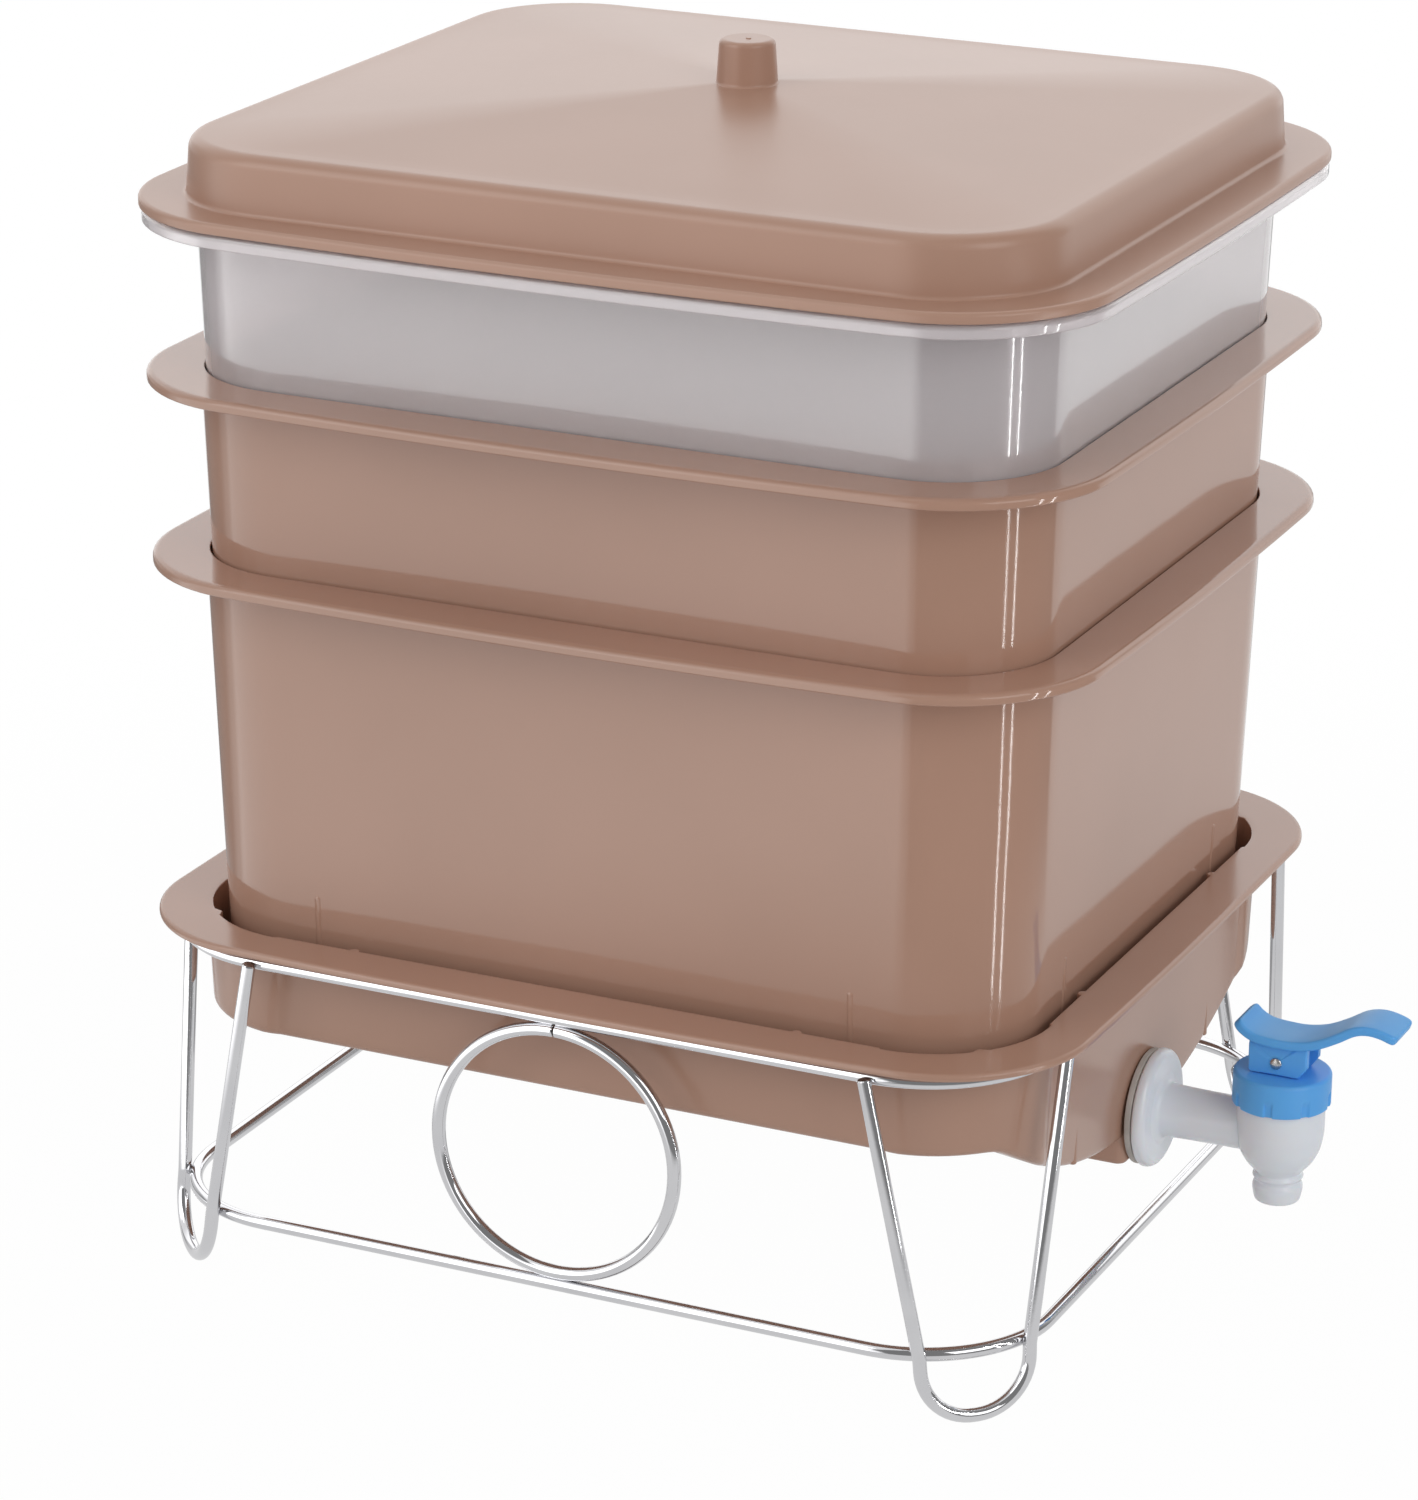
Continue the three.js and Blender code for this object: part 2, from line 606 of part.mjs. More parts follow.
// Working trays: a drafted box under a flat flange with a turned-down lip, a floor with drain
// holes, and ribs on the inside that carry the tray above. The clear tray can change places with
// the others, so it has these ribs too, but no guide ribs outside: it is shallower, and fits
// closer in the tray below.
function trayShell(top, depth, withGuides) {
  const bottom = top - depth;
  const plateZ = top - tray.plate;
  const lipZ = top - tray.lipDepth;
  const fall = (z) => -leanShare * (top - z);
  const chamferZ = bottom + tray.bottomChamfer;
  const floorZ = bottom + tray.floor;
  const innerChamferZ = floorZ + tray.innerChamfer;
  const levels = [
    level(trayBody, bottom, fall(bottom) - tray.bottomChamfer),
    level(trayBody, chamferZ, fall(chamferZ)),
    level(trayBody, plateZ, fall(plateZ)),
    level(trayFlange, plateZ, -tray.lipThickness),
    level(trayFlange, lipZ, -tray.lipThickness),
    level(trayFlange, lipZ),
    level(trayFlange, top),
    level(trayBody, top, -tray.wall),
    level(trayBody, innerChamferZ, fall(innerChamferZ) - tray.wall),
    level(trayBody, floorZ, fall(floorZ) - tray.wall - tray.innerChamfer),
  ];
  let shell = solid(loft(levels, bottom, floorZ));
  const inside = (grow) => solid(loft(
    [level(trayBody, bottom, fall(bottom) + grow), level(trayBody, top, grow)], bottom, top,
  ));
  const filled = inside(-tray.wall / 2);
  const ribTop = top - tray.nest - seat;
  const half = tray.ribThickness / 2;
  const wallX = trayBody.x + fall(ribTop);
  const wallY = trayBody.y + fall(ribTop);
  const guided = inside(tray.guideReach);
  const guideLow = bottom + tray.guideBase;
  const guideHigh = guideLow + tray.guideHeight;
  const guide = tray.guideThickness / 2;
  for (const sign of [-1, 1]) {
    for (const side of [-1, 1]) {
      const y = [sign * (wallY - tray.ribReach), sign * trayFlange.y].sort((a, b) => a - b);
      const x = [sign * (wallX - tray.ribReach), sign * trayFlange.x].sort((a, b) => a - b);
      const along = side * tray.ribAlong;
      const across = side * tray.ribAcross;
      const ribLow = bottom + tray.floor / 2;
      shell = shell
        .add(box(along - half, along + half, y[0], y[1], ribLow, ribTop).intersect(filled))
        .add(box(x[0], x[1], across - half, across + half, ribLow, ribTop).intersect(filled));
      if (withGuides) {
        const edgeX = sign * (trayBody.x + fall(bottom) - tray.wall / 2);
        const edgeY = sign * (trayBody.y + fall(bottom) - tray.wall / 2);
        const outX = [edgeX, sign * trayFlange.x].sort((a, b) => a - b);
        const outY = [edgeY, sign * trayFlange.y].sort((a, b) => a - b);
        const guideX = side * (trayBody.x - trayBody.corner - tray.guideAlong);
        const guideY = side * (trayBody.y - trayBody.corner - tray.guideAcross);
        const onSide = box(guideX - guide, guideX + guide, outY[0], outY[1], guideLow, guideHigh);
        const onEnd = box(outX[0], outX[1], guideY - guide, guideY + guide, guideLow, guideHigh);
        shell = shell.add(onSide.intersect(guided)).add(onEnd.intersect(guided));
      }
    }
  }
  const floorX = trayBody.x + fall(bottom) - tray.ribReach - tray.bottomChamfer;
  const floorY = trayBody.y + fall(bottom) - tray.ribReach - tray.bottomChamfer;
  const countX = Math.floor((floorX - tray.holeRadius) / tray.holePitch);
  const countY = Math.floor((floorY - tray.holeRadius) / tray.holePitch);
  const drill = rod(tray.holeRadius, bottom - overrun, floorZ + overrun);
  for (let i = -countX; i <= countX; i += 1) {
    for (let j = -countY; j <= countY; j += 1) {
      const hole = turned(drill, holeSides).translate(i * tray.holePitch, j * tray.holePitch, 0);
      shell = shell.subtract(solid(hole));
    }
  }
  return geometryOf(shell);
}
add('lower_tray', trayShell(lowerTop, tray.depth, true), taupe);
add('middle_tray', trayShell(middleTop, tray.depth, true), taupe);
add('clear_tray', trayShell(clearTop, tray.clearDepth, false), clear);

// Lid: a flange, a crown with upright sides and a shallow pyramid on top, and a knob moulded on
function lidShell() {
  const flangeTop = lidBottom + lid.flangeThickness;
  const skirtTop = flangeTop + lid.skirt;
  const edgeZ = skirtTop - lid.edgeRadius;
  const edgeDraft = -lid.skirtDraft * (lid.skirt - lid.edgeRadius) / lid.skirt;
  const levels = [
    level(crown, skirtTop - lid.wall, -lid.wall - lid.skirtDraft - lid.edgeRadius),
    level(crown, edgeZ - lid.wall, edgeDraft - lid.wall),
    level(crown, lidBottom, -lid.wall),
    level(lidFlange, lidBottom),
    level(lidFlange, flangeTop),
    level(crown, flangeTop),
  ];
  for (let i = 0; i <= edgeSteps; i += 1) {
    const angle = i / edgeSteps * Math.PI / 2;
    levels.push(level(
      crown,
      edgeZ + lid.edgeRadius * Math.sin(angle),
      edgeDraft - lid.edgeRadius * (1 - Math.cos(angle)),
    ));
  }
  const apex = skirtTop + lid.rise;
  const knobTop = apex + lid.knobHeight;
  const knob = turned([
    [0, apex - lid.wall],
    [lid.knobRadius, apex - lid.wall],
    [lid.knobRadius - lid.knobTaper, knobTop - lid.knobEdge],
    [lid.knobRadius - lid.knobTaper - lid.knobEdge, knobTop],
    [0, knobTop],
  ], round);
  return geometryOf(solid(loft(levels, apex - lid.wall, apex)).add(solid(knob)));
}
add('lid', lidShell(), taupe);

// Tap body: one moulding of threaded stub, disc, barrel, valve chamber and nozzle
const washerFace = padFace + seat;
const discFace = washerFace + tap.washerThickness + seat;
function tapBody() {
  const discRadius = tap.washerRadius + tap.discLap;
  const discEdge = tap.discThickness / 3;
  const along = solid(turnedAlongX([
    [0, padFace - stubLength],
    [stubRadius, padFace - stubLength],
    [stubRadius, discFace],
    [discRadius - discEdge / 2, discFace],
    [discRadius, discFace + discEdge],
    [discRadius - discEdge, discFace + tap.discThickness],
    [barrelRadius, discFace + tap.discThickness],
    [barrelRadius, valveX],
    [0, valveX],
  ], round, 0, tapHeight));
  const mouth = seatHeight - tap.nozzle;
  const nozzleRadius = tap.boreRadius + tap.nozzleWall;
  const threadRadius = chamberOuter - collar.threadGap;
  const chamber = solid(turned([
    [0, mouth],
    ...nozzleShares.map(([along, out]) => [nozzleRadius + out * tap.bead, mouth + along * tap.nozzle]),
    [barrelRadius, mouth + neckShare * tap.nozzle],
    [shoulderShare * chamberOuter, seatHeight],
    [chamberOuter, 0],
    [chamberOuter, collarBottom - seat],
    [threadRadius, collarBottom - seat],
    [threadRadius, chamberTop],
    [0, chamberTop],
  ], round).translate(valveX, 0, tapHeight));
  const barrelBore = solid(turnedAlongX(
    rod(tap.boreRadius, padFace - stubLength - overrun, valveX), roundSmall, 0, tapHeight,
  ));
  const valveBore = solid(turned([
    [0, mouth - overrun],
    [tap.boreRadius, mouth - overrun],
    [tap.boreRadius, seatHeight],
    [chamberRadius, seatHeight],
    [chamberRadius, chamberTop + overrun],
    [0, chamberTop + overrun],
  ], round).translate(valveX, 0, tapHeight));
  return geometryOf(along.add(chamber).subtract(barrelBore).subtract(valveBore));
}
add('tap_body', tapBody(), white);

// Seals and the nut that clamp the tap to the tank's wall
function washer(radius, from, thickness) {
  const inner = stubRadius + seat;
  return turnedAlongX([
    [inner, from], [radius, from], [radius, from + thickness], [inner, from + thickness],
  ], round, 0, tapHeight);
}
const innerWasherFace = padFace - pocket.wall - seat - tap.innerWasherThickness;
const innerWasherRadius = nutRadius + tap.innerWasherLap;
const nutFace = innerWasherFace - seat;
const nutBack = nutFace - tap.nutThickness;
add('tap_outer_washer', washer(tap.washerRadius, washerFace, tap.washerThickness), rubber);
add('tap_inner_washer', washer(innerWasherRadius, innerWasherFace, tap.innerWasherThickness), rubber);
const nutHole = rod(stubRadius + seat, nutBack - overrun, nutFace + overrun);
add('tap_nut', geometryOf(
  solid(turnedAlongX(rod(nutRadius, nutBack, nutFace), nutSides, 0, tapHeight))
    .subtract(solid(turnedAlongX(nutHole, round, 0, tapHeight))),
), white);

// Screw collar that closes the valve chamber, with grip notches round its lower edge
function tapCollar() {
  const { chamfer } = collar;
  const hole = stem.radius + collar.stemGap;
  const room = springOuter + collar.springRoom;
  let cap = solid(turned([
    [chamberOuter, collarBottom],
    [collarRadius - chamfer / 2, collarBottom],
    [collarRadius, collarBottom + chamfer],
    [collarRadius, collarTop - chamfer],
    [collarRadius - chamfer, collarTop],
    [hole, collarTop],
    [hole, collarCeiling],
    [room, collarCeiling],
    [room, chamberTop + seat],
    [chamberOuter, chamberTop + seat],
  ], round));
  for (let i = 0; i < collar.gripCount; i += 1) {
    const notch = box(
      collarRadius - collar.gripDepth, collarRadius + overrun,
      -collar.gripWidth / 2, collar.gripWidth / 2,
      collarBottom - overrun, collarBottom + collar.gripHeight,
    ).rotate([0, 0, i / collar.gripCount * 360]);
    cap = cap.subtract(notch);
  }
  return geometryOf(cap).translate(valveX, 0, tapHeight);
}
add('tap_collar', tapCollar(), blue);

// Valve stem: a foot for the spring and the rubber plug, a shaft and an eye for the lever's pin
function valveStem() {
  const shaft = solid(turned([
    [0, footBottom],
    [springOuter, footBottom],
    [springOuter, footBottom + stem.footThickness],
    [stem.radius, footBottom + stem.footThickness],
    [stem.radius, pinHeight],
    [0, pinHeight],
  ], roundMedium));
  const eyeHalf = slotHalf - stem.slotGap;
  const eye = box(
    -eyeReach, eyeReach, -eyeHalf, eyeHalf, collarTop + seat, pinHeight + eyeReach,
  );
  const hole = solid(turned(rod(stem.pinRadius + seat, -slotHalf, slotHalf), roundSmall)
    .rotateX(Math.PI / 2).translate(0, 0, pinHeight));
  return geometryOf(shaft.add(eye).subtract(hole)).translate(valveX, 0, tapHeight);
}
add('valve_stem', valveStem(), white);
add('valve_plug', turned(rod(plugRadius, plugBottom, plugBottom + stem.plugThickness), roundMedium)
  .translate(valveX, 0, tapHeight), rubber);
const pinEnd = cheekOuter + seat;
const pinHead = stem.pinRadius + stem.pinHeadLap;
const pinLength = pinEnd + stem.pinHeadThickness;
add('lever_pin', turned([
  [0, -pinLength],
  [pinHead, -pinLength],
  [pinHead, -pinEnd],
  [stem.pinRadius, -pinEnd],
  [stem.pinRadius, pinEnd],
  [pinHead, pinEnd],
  [pinHead, pinLength],
  [0, pinLength],
], roundSmall).rotateX(Math.PI / 2).translate(valveX, 0, tapHeight + pinHeight), steel);

// Coil spring between the stem's foot and the collar, as a plain sleeve
add('tap_spring', turned([
  [springInner, springBottom],
  [springOuter, springBottom],
  [springOuter, collarCeiling - seat],
  [springInner, collarCeiling - seat],
], roundMedium).translate(valveX, 0, tapHeight), steel);

// Lever: a swept paddle on two cheeks that straddle the stem's eye and rest on the collar.
// It is drawn round its pin.
function tapLever() {
  const run = lever.reach + lever.back;
  const topLine = new THREE.SplineCurve(paddleShares.map(([along, lift]) => new THREE.Vector2(
    along * run - lever.back, lever.saddleRise + lift * lever.crestLift,
  ))).getPoints(paddleSteps);
  const under = topLine.map((p) => new THREE.Vector2(p.x, p.y - lever.thickness)).reverse();
  const paddle = new THREE.ExtrudeGeometry(new THREE.Shape([...topLine, ...under]), {
    depth: lever.width,
    bevelEnabled: false,
  }).rotateX(Math.PI / 2).translate(0, lever.width / 2, 0);
  const cheekShape = new THREE.Shape();
  const { backRadius, frontRadius, cheekBack, cheekFront } = lever;
  const low = -heelDrop;
  const high = lever.saddleRise - lever.thickness / 2;
  cheekShape.moveTo(-cheekBack, high);
  cheekShape.lineTo(-cheekBack, low + backRadius);
  const backX = -cheekBack + backRadius;
  const frontX = cheekFront - frontRadius;
  cheekShape.absarc(backX, low + backRadius, backRadius, Math.PI, 1.5 * Math.PI, false);
  cheekShape.absarc(frontX, low + frontRadius, frontRadius, 1.5 * Math.PI, 2 * Math.PI, false);
  cheekShape.lineTo(cheekFront, high);
  const cheek = (from) => solid(new THREE.ExtrudeGeometry(cheekShape, {
    depth: lever.cheekThickness,
    bevelEnabled: false,
    curveSegments: cheekSteps,
  }).rotateX(Math.PI / 2).translate(0, from + lever.cheekThickness, 0));
  const pinHole = rod(stem.pinRadius + seat, -lever.width, lever.width);
  const body = solid(paddle).add(cheek(-cheekOuter)).add(cheek(slotHalf));
  const hole = solid(turned(pinHole, roundSmall).rotateX(Math.PI / 2));
  return geometryOf(body.subtract(hole)).translate(valveX, 0, tapHeight + pinHeight);
}
add('tap_lever', tapLever(), blue);

export default part;
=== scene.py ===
import math

import bmesh
import bpy
import numpy as np
from mathutils import Matrix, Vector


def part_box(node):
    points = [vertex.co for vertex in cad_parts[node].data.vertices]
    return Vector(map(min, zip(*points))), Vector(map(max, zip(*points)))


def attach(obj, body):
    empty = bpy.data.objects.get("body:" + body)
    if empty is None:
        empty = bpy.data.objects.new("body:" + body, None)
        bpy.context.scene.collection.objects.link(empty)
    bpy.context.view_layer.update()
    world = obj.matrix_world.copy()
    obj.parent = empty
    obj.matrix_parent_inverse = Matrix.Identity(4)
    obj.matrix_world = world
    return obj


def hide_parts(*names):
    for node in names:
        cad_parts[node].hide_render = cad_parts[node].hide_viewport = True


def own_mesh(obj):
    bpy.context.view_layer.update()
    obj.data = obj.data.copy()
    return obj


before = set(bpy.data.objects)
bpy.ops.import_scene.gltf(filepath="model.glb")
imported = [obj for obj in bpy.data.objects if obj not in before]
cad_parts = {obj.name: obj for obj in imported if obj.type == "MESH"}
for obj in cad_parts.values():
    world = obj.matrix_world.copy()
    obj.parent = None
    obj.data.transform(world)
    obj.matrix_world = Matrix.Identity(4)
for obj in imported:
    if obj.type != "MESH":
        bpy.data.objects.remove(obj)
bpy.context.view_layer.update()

# The stand's two loops: 5 mm steel wire bent to a rounded rectangle, butt welded and chromed. The
# tank's flange rests on the upper one, and the lower one ties the legs. The sizes in this script
# are in millimetres, and piece() turns them into metres.
per_metre = 1000
weld_distance = 2e-6
wire_radius = 2.5
wire_flats = 8
wire_sides = 24
wire_bevel = 0.4
loop_corner = 48.7
loop_run = np.linspace(-1, 1, 41)
loop_corner_steps = 24
sharp_angle = math.radians(34)


def reach(node):
    """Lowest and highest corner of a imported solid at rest, in millimetres."""
    low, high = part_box(node)
    return np.array(low) * per_metre, np.array(high) * per_metre


def track(run_x, run_y, corner_steps):
    """Unit outline of a rounded rectangle, anticlockwise from the middle of the +X -Y corner.
    An outline's point is u * (half - corner) + n * corner: u goes from -1 to 1 along the straights
    by the shares in run_x and run_y, and n is the outward normal, which turns in the corners."""
    half = corner_steps // 2
    turn = np.linspace(0, math.pi / 4, half + 1)
    u = []
    n = []
    for side, run in enumerate([run_y, run_x, run_y, run_x]):
        base = side * math.pi / 2
        along = np.concatenate([np.full(half, run[0]), run, np.full(half - 1, run[-1])])
        angle = base + np.concatenate([-turn[:0:-1], np.zeros(len(run)), turn[1:-1]])
        x = math.cos(base) - math.sin(base) * along
        y = math.sin(base) + math.cos(base) * along
        u.append(np.stack([x, y], -1))
        n.append(np.stack([np.cos(angle), np.sin(angle)], -1))
    return np.concatenate(u), np.concatenate(n)


def outline(u, n, half, corner, bow=(0, 0)):
    """A rounded rectangle whose sides bow out: x' = x (1 + bow_x / half_x (1 - (y / half_y)^2)),
    and the same for y."""
    straight = u * (np.array(half) - corner) + n * corner
    share = straight / np.array(half)
    return straight * (1 + np.array(bow) / np.array(half) * (1 - share[:, ::-1] ** 2))


def surface(points):
    """Faces of a grid of points: row k, column j, where the last column joins the first."""
    rows, columns = points.shape[:2]
    k, j = np.meshgrid(np.arange(rows - 1), np.arange(columns), indexing="ij")
    after = (j + 1) % columns
    corners = [k * columns + j, k * columns + after, (k + 1) * columns + after, (k + 1) * columns + j]
    return points.reshape(-1, 3), np.stack(corners, -1).reshape(-1, 4)


def tube(path, hint, closed=False, radius=wire_radius):
    """Round wire on a path: point (i, j) = p_i + radius (cos a_j n_i + sin a_j b_i), where t is the
    path's tangent, n is the part of the hint square to t, and b = t x n. An open wire is cut
    square and its rim is broken by a small bevel."""
    if closed:
        tangent = np.roll(path, -1, 0) - np.roll(path, 1, 0)
    else:
        tangent = np.gradient(path, axis=0)
    tangent = tangent / np.linalg.norm(tangent, axis=1, keepdims=True)
    normal = np.array(hint) - (tangent @ np.array(hint))[:, None] * tangent
    normal = normal / np.linalg.norm(normal, axis=1, keepdims=True)
    binormal = np.cross(tangent, normal)
    angle = np.linspace(0, 2 * math.pi, wire_sides, endpoint=False)[None, :, None]
    spoke = np.cos(angle) * normal[:, None] + np.sin(angle) * binormal[:, None]
    points = path[:, None] + radius * spoke
    if closed:
        return surface(np.concatenate([points, points[:1]]))
    bevel = min(wire_bevel, radius / 2)
    face = path[[0, -1], None] + (radius - bevel) * spoke[[0, -1]]
    pole = path[[0, -1], None] + 0 * spoke[[0, -1]]
    first = [pole[0], face[0], points[0] + bevel * tangent[0]]
    last = [points[-1] - bevel * tangent[-1], face[1], pole[1]]
    return surface(np.concatenate([first, points[1:-1], last]))


def piece(name, surfaces, look, slot, body, *nodes):
    """Joins closed surfaces into one piece, welds their seams and poles, turns the faces outwards,
    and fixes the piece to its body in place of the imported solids."""
    starts = np.cumsum([0] + [len(points) for points, faces in surfaces])
    points = np.concatenate([points for points, faces in surfaces]) / per_metre
    faces = np.concatenate([faces + start for (_, faces), start in zip(surfaces, starts)])
    mesh = bpy.data.meshes.new(name)
    mesh.from_pydata(points.tolist(), [], faces.tolist())
    work = bmesh.new()
    work.from_mesh(mesh)
    bmesh.ops.remove_doubles(work, verts=work.verts, dist=weld_distance)
    bmesh.ops.recalc_face_normals(work, faces=work.faces)
    work.to_mesh(mesh)
    work.free()
    mesh.shade_smooth()
    mesh.set_sharp_from_angle(angle=sharp_angle)
    mesh.materials.append(look)
    made = bpy.data.objects.new(name, mesh)
    bpy.context.collection.objects.link(made)
    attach(made, body)
    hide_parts(*nodes)
    return made


class Value:
    """A socket in a material's node tree. Arithmetic on it adds Math nodes, so 1 - a * b reads as
    it is, and node() adds any other node: first its settings, then its sockets."""

    def __init__(self, tree, socket):
        self.tree = tree
        self.socket = socket

    def node(self, kind, settings, sockets, output=0):
        made = self.tree.nodes.new(kind)
        for setting, value in settings.items():
            setattr(made, setting, value)
        for key, value in sockets.items():
            if isinstance(value, Value):
                self.tree.links.new(value.socket, made.inputs[key])
            else:
                made.inputs[key].default_value = value
        return Value(self.tree, made.outputs[output])

    def maths(self, operation, *values):
        return self.node("ShaderNodeMath", {"operation": operation}, dict(enumerate(values)))

    def __add__(self, other):
        return self.maths("ADD", self, other)

    def __sub__(self, other):
        return self.maths("SUBTRACT", self, other)

    def __rsub__(self, other):
        return self.maths("SUBTRACT", other, self)

    def __mul__(self, other):
        return self.maths("MULTIPLY", self, other)

    __radd__ = __add__
    __rmul__ = __mul__

    def step(self, low, high):
        """0 below low, 1 above high, and a smooth rise between."""
        sockets = {"Value": self, "From Min": low, "From Max": high}
        return self.node("ShaderNodeMapRange", {"interpolation_type": "SMOOTHSTEP"}, sockets)

    def mix(self, first, second):
        """A colour between two, with this value as the share of the second."""
        return self.node("ShaderNodeMix", {"data_type": "RGBA"}, {0: self, 6: first, 7: second}, 2)

    def stretched(self, scale):
        """Coordinates multiplied along each axis."""
        return self.node("ShaderNodeVectorMath", {"operation": "MULTIPLY"}, {0: self, 1: scale})

    def noise(self, scale, detail=2):
        return self.node("ShaderNodeTexNoise", {}, {"Vector": self, "Scale": scale, "Detail": detail})

    def bump(self, height):
        """A normal from this height, which is counted in metres by the given factor."""
        return self.node("ShaderNodeBump", {}, {"Height": self, "Distance": height})


def colour(red, green, blue):
    """A colour from its 0 to 255 screen values: ((c + 0.055) / 1.055)^2.4 for each."""
    return tuple(((c / 255 + 0.055) / 1.055) ** 2.4 for c in (red, green, blue)) + (1,)


def finish(name, fixed):
    """A new material: its shader with the sockets that are the same all over, and its coordinates."""
    look = bpy.data.materials.new(name)
    look.use_nodes = True
    shader = look.node_tree.nodes["Principled BSDF"]
    for socket, value in fixed.items():
        shader.inputs[socket].default_value = value
    place = look.node_tree.nodes.new("ShaderNodeTexCoord")
    return look, shader, Value(look.node_tree, place.outputs["Object"])


def feed(shader, **values):
    """Links values to the shader's sockets, named without their spaces."""
    for socket in shader.inputs:
        value = values.get(socket.name.replace(" ", ""))
        if value is not None:
            value.tree.links.new(value.socket, socket)


def chrome():
    """Bright chrome plate: a mirror with cloudy patches, faint hairlines and fine pits."""
    look, shader, place = finish("chrome_wire", {"Metallic": 1.0})
    cloud = place.noise(55)
    hairline = place.noise(900, 1).step(0.55, 0.75)
    feed(
        shader,
        BaseColor=cloud.mix(colour(222, 222, 224), colour(206, 206, 209)),
        Roughness=0.035 + 0.05 * cloud + 0.05 * hairline,
        Normal=place.noise(420, 3).bump(0.000012),
    )
    return look


chrome_wire = chrome()
track_u, track_n = track(loop_run, loop_run, loop_corner_steps)
flat_reach = wire_radius * math.cos(math.pi / wire_flats)


def wire_loop(node):
    low, high = reach(node)
    half = (high - low)[:2] / 2 - flat_reach
    middle = (low + high) / 2
    path = outline(track_u, track_n, half, loop_corner)
    return tube(np.c_[path, np.zeros(len(path))] + middle, (0, 0, 1), closed=True), half, middle


upper_wire, loop_half, upper_middle = wire_loop("top_loop")
lower_wire, loop_half, lower_middle = wire_loop("bottom_loop")
piece("stand_top_loop", [upper_wire], chrome_wire, "chrome_wire", "stand", "top_loop")
piece("stand_bottom_loop", [lower_wire], chrome_wire, "chrome_wire", "stand", "bottom_loop")

# Four hairpin legs, each one length of the same wire: two strands that run down outside the loops,
# spot welded to both, and a wide turn that stands on the floor a little outside the loop's corner.
strand_top_x = 0.3
strand_top_y = -1.5
strand_weld_x = 18.8
strand_weld_y = 17.9
strand_rise = 0.9
foot_splay = 2.6
foot_radius = 19.8
kink_radius = 9
bend_steps = 14
bend_guard = 2
weld_squeeze = 0.35


def rounded(corners, radii, steps=8, guard=0.6):
    """A line whose corners are arcs. Each arc is the exact circle as a rational Bezier curve,
    (a (1-t)^2 + 2 w p t (1-t) + b t^2) / ((1-t)^2 + 2 w t (1-t) + t^2), where p is the corner, a
    and b lie radius tan(turn / 2) before and after it, and w is cos(turn / 2). A guard point beside
    each arc keeps the flat next to it flat when it is shaded smooth."""
    corners = np.array(corners, float)
    t = np.linspace(0, 1, steps + 1)[:, None]
    arcs = [corners[:1]]
    for before, corner, after, radius in zip(corners, corners[1:], corners[2:], radii):
        way_in = (corner - before) / np.linalg.norm(corner - before)
        way_out = (after - corner) / np.linalg.norm(after - corner)
        turn = math.acos(np.clip(way_in @ way_out, -1, 1))
        length = radius * math.tan(turn / 2)
        weight = math.cos(turn / 2)
        start = corner - length * way_in
        end = corner + length * way_out
        top = start * (1 - t) ** 2 + 2 * weight * corner * t * (1 - t) + end * t ** 2
        arcs.append(top / ((1 - t) ** 2 + 2 * weight * t * (1 - t) + t ** 2))
    arcs.append(corners[-1:])
    line = [arcs[0]]
    for arc, following in zip(arcs, arcs[1:]):
        gap = following[0] - arc[-1]
        length = np.linalg.norm(gap)
        if length > 3 * guard:
            line.append([arc[-1] + gap * guard / length, following[0] - gap * guard / length])
        line.append(following)
    return np.concatenate(line)


def hairpin(sign_x, sign_y):
    """Strand, turn and strand in a corner of the loops. Both strands kink at the lower loop, and
    the turn's two quarter arcs meet at the foot."""
    outside = 2 * wire_radius - weld_squeeze
    straight = loop_half - loop_corner
    weld_radius = loop_corner + outside
    along = math.asin(strand_weld_x / loop_corner)
    across = math.asin(strand_weld_y / loop_corner)
    top_z = upper_middle[2] + strand_rise
    low_z = lower_middle[2]
    top_a = np.array([straight[0] - strand_top_x, loop_half[1] + outside, top_z])
    top_b = np.array([loop_half[0] + outside, straight[1] - strand_top_y, top_z])
    weld_a = np.array([
        straight[0] + weld_radius * math.sin(along), straight[1] + weld_radius * math.cos(along), low_z,
    ])
    weld_b = np.array([
        straight[0] + weld_radius * math.cos(across), straight[1] + weld_radius * math.sin(across), low_z,
    ])
    outward = np.array([weld_a[1] - weld_b[1], weld_b[0] - weld_a[0], 0])
    outward = outward / np.linalg.norm(outward)
    chord = (weld_b - weld_a) / np.linalg.norm(weld_b - weld_a)
    foot = (weld_a + weld_b) / 2 + foot_splay * outward
    foot[2] = wire_radius
    corners = [top_a, weld_a, foot - foot_radius * chord, foot + foot_radius * chord, weld_b, top_b]
    line = rounded(corners, [kink_radius, foot_radius, foot_radius, kink_radius], bend_steps, bend_guard)
    turn = np.array([sign_x, sign_y, 1])
    shift = np.array([upper_middle[0], upper_middle[1], 0])
    return tube(line * turn + shift, outward * turn)


for name, sign_x, sign_y in [
    ("leg_tap_front", 1, -1), ("leg_tap_back", 1, 1), ("leg_end_front", -1, -1), ("leg_end_back", -1, 1),
]:
    piece("stand_" + name, [hairpin(sign_x, sign_y)], chrome_wire, "chrome_wire", "stand", name)

# A ring of the same wire braces the two loops in the middle of each long side. Its ends meet at the
# top, where the seam stays open by a hair, and it is spot welded to both loops.
seam_gap = 0.5
ring_steps = 96


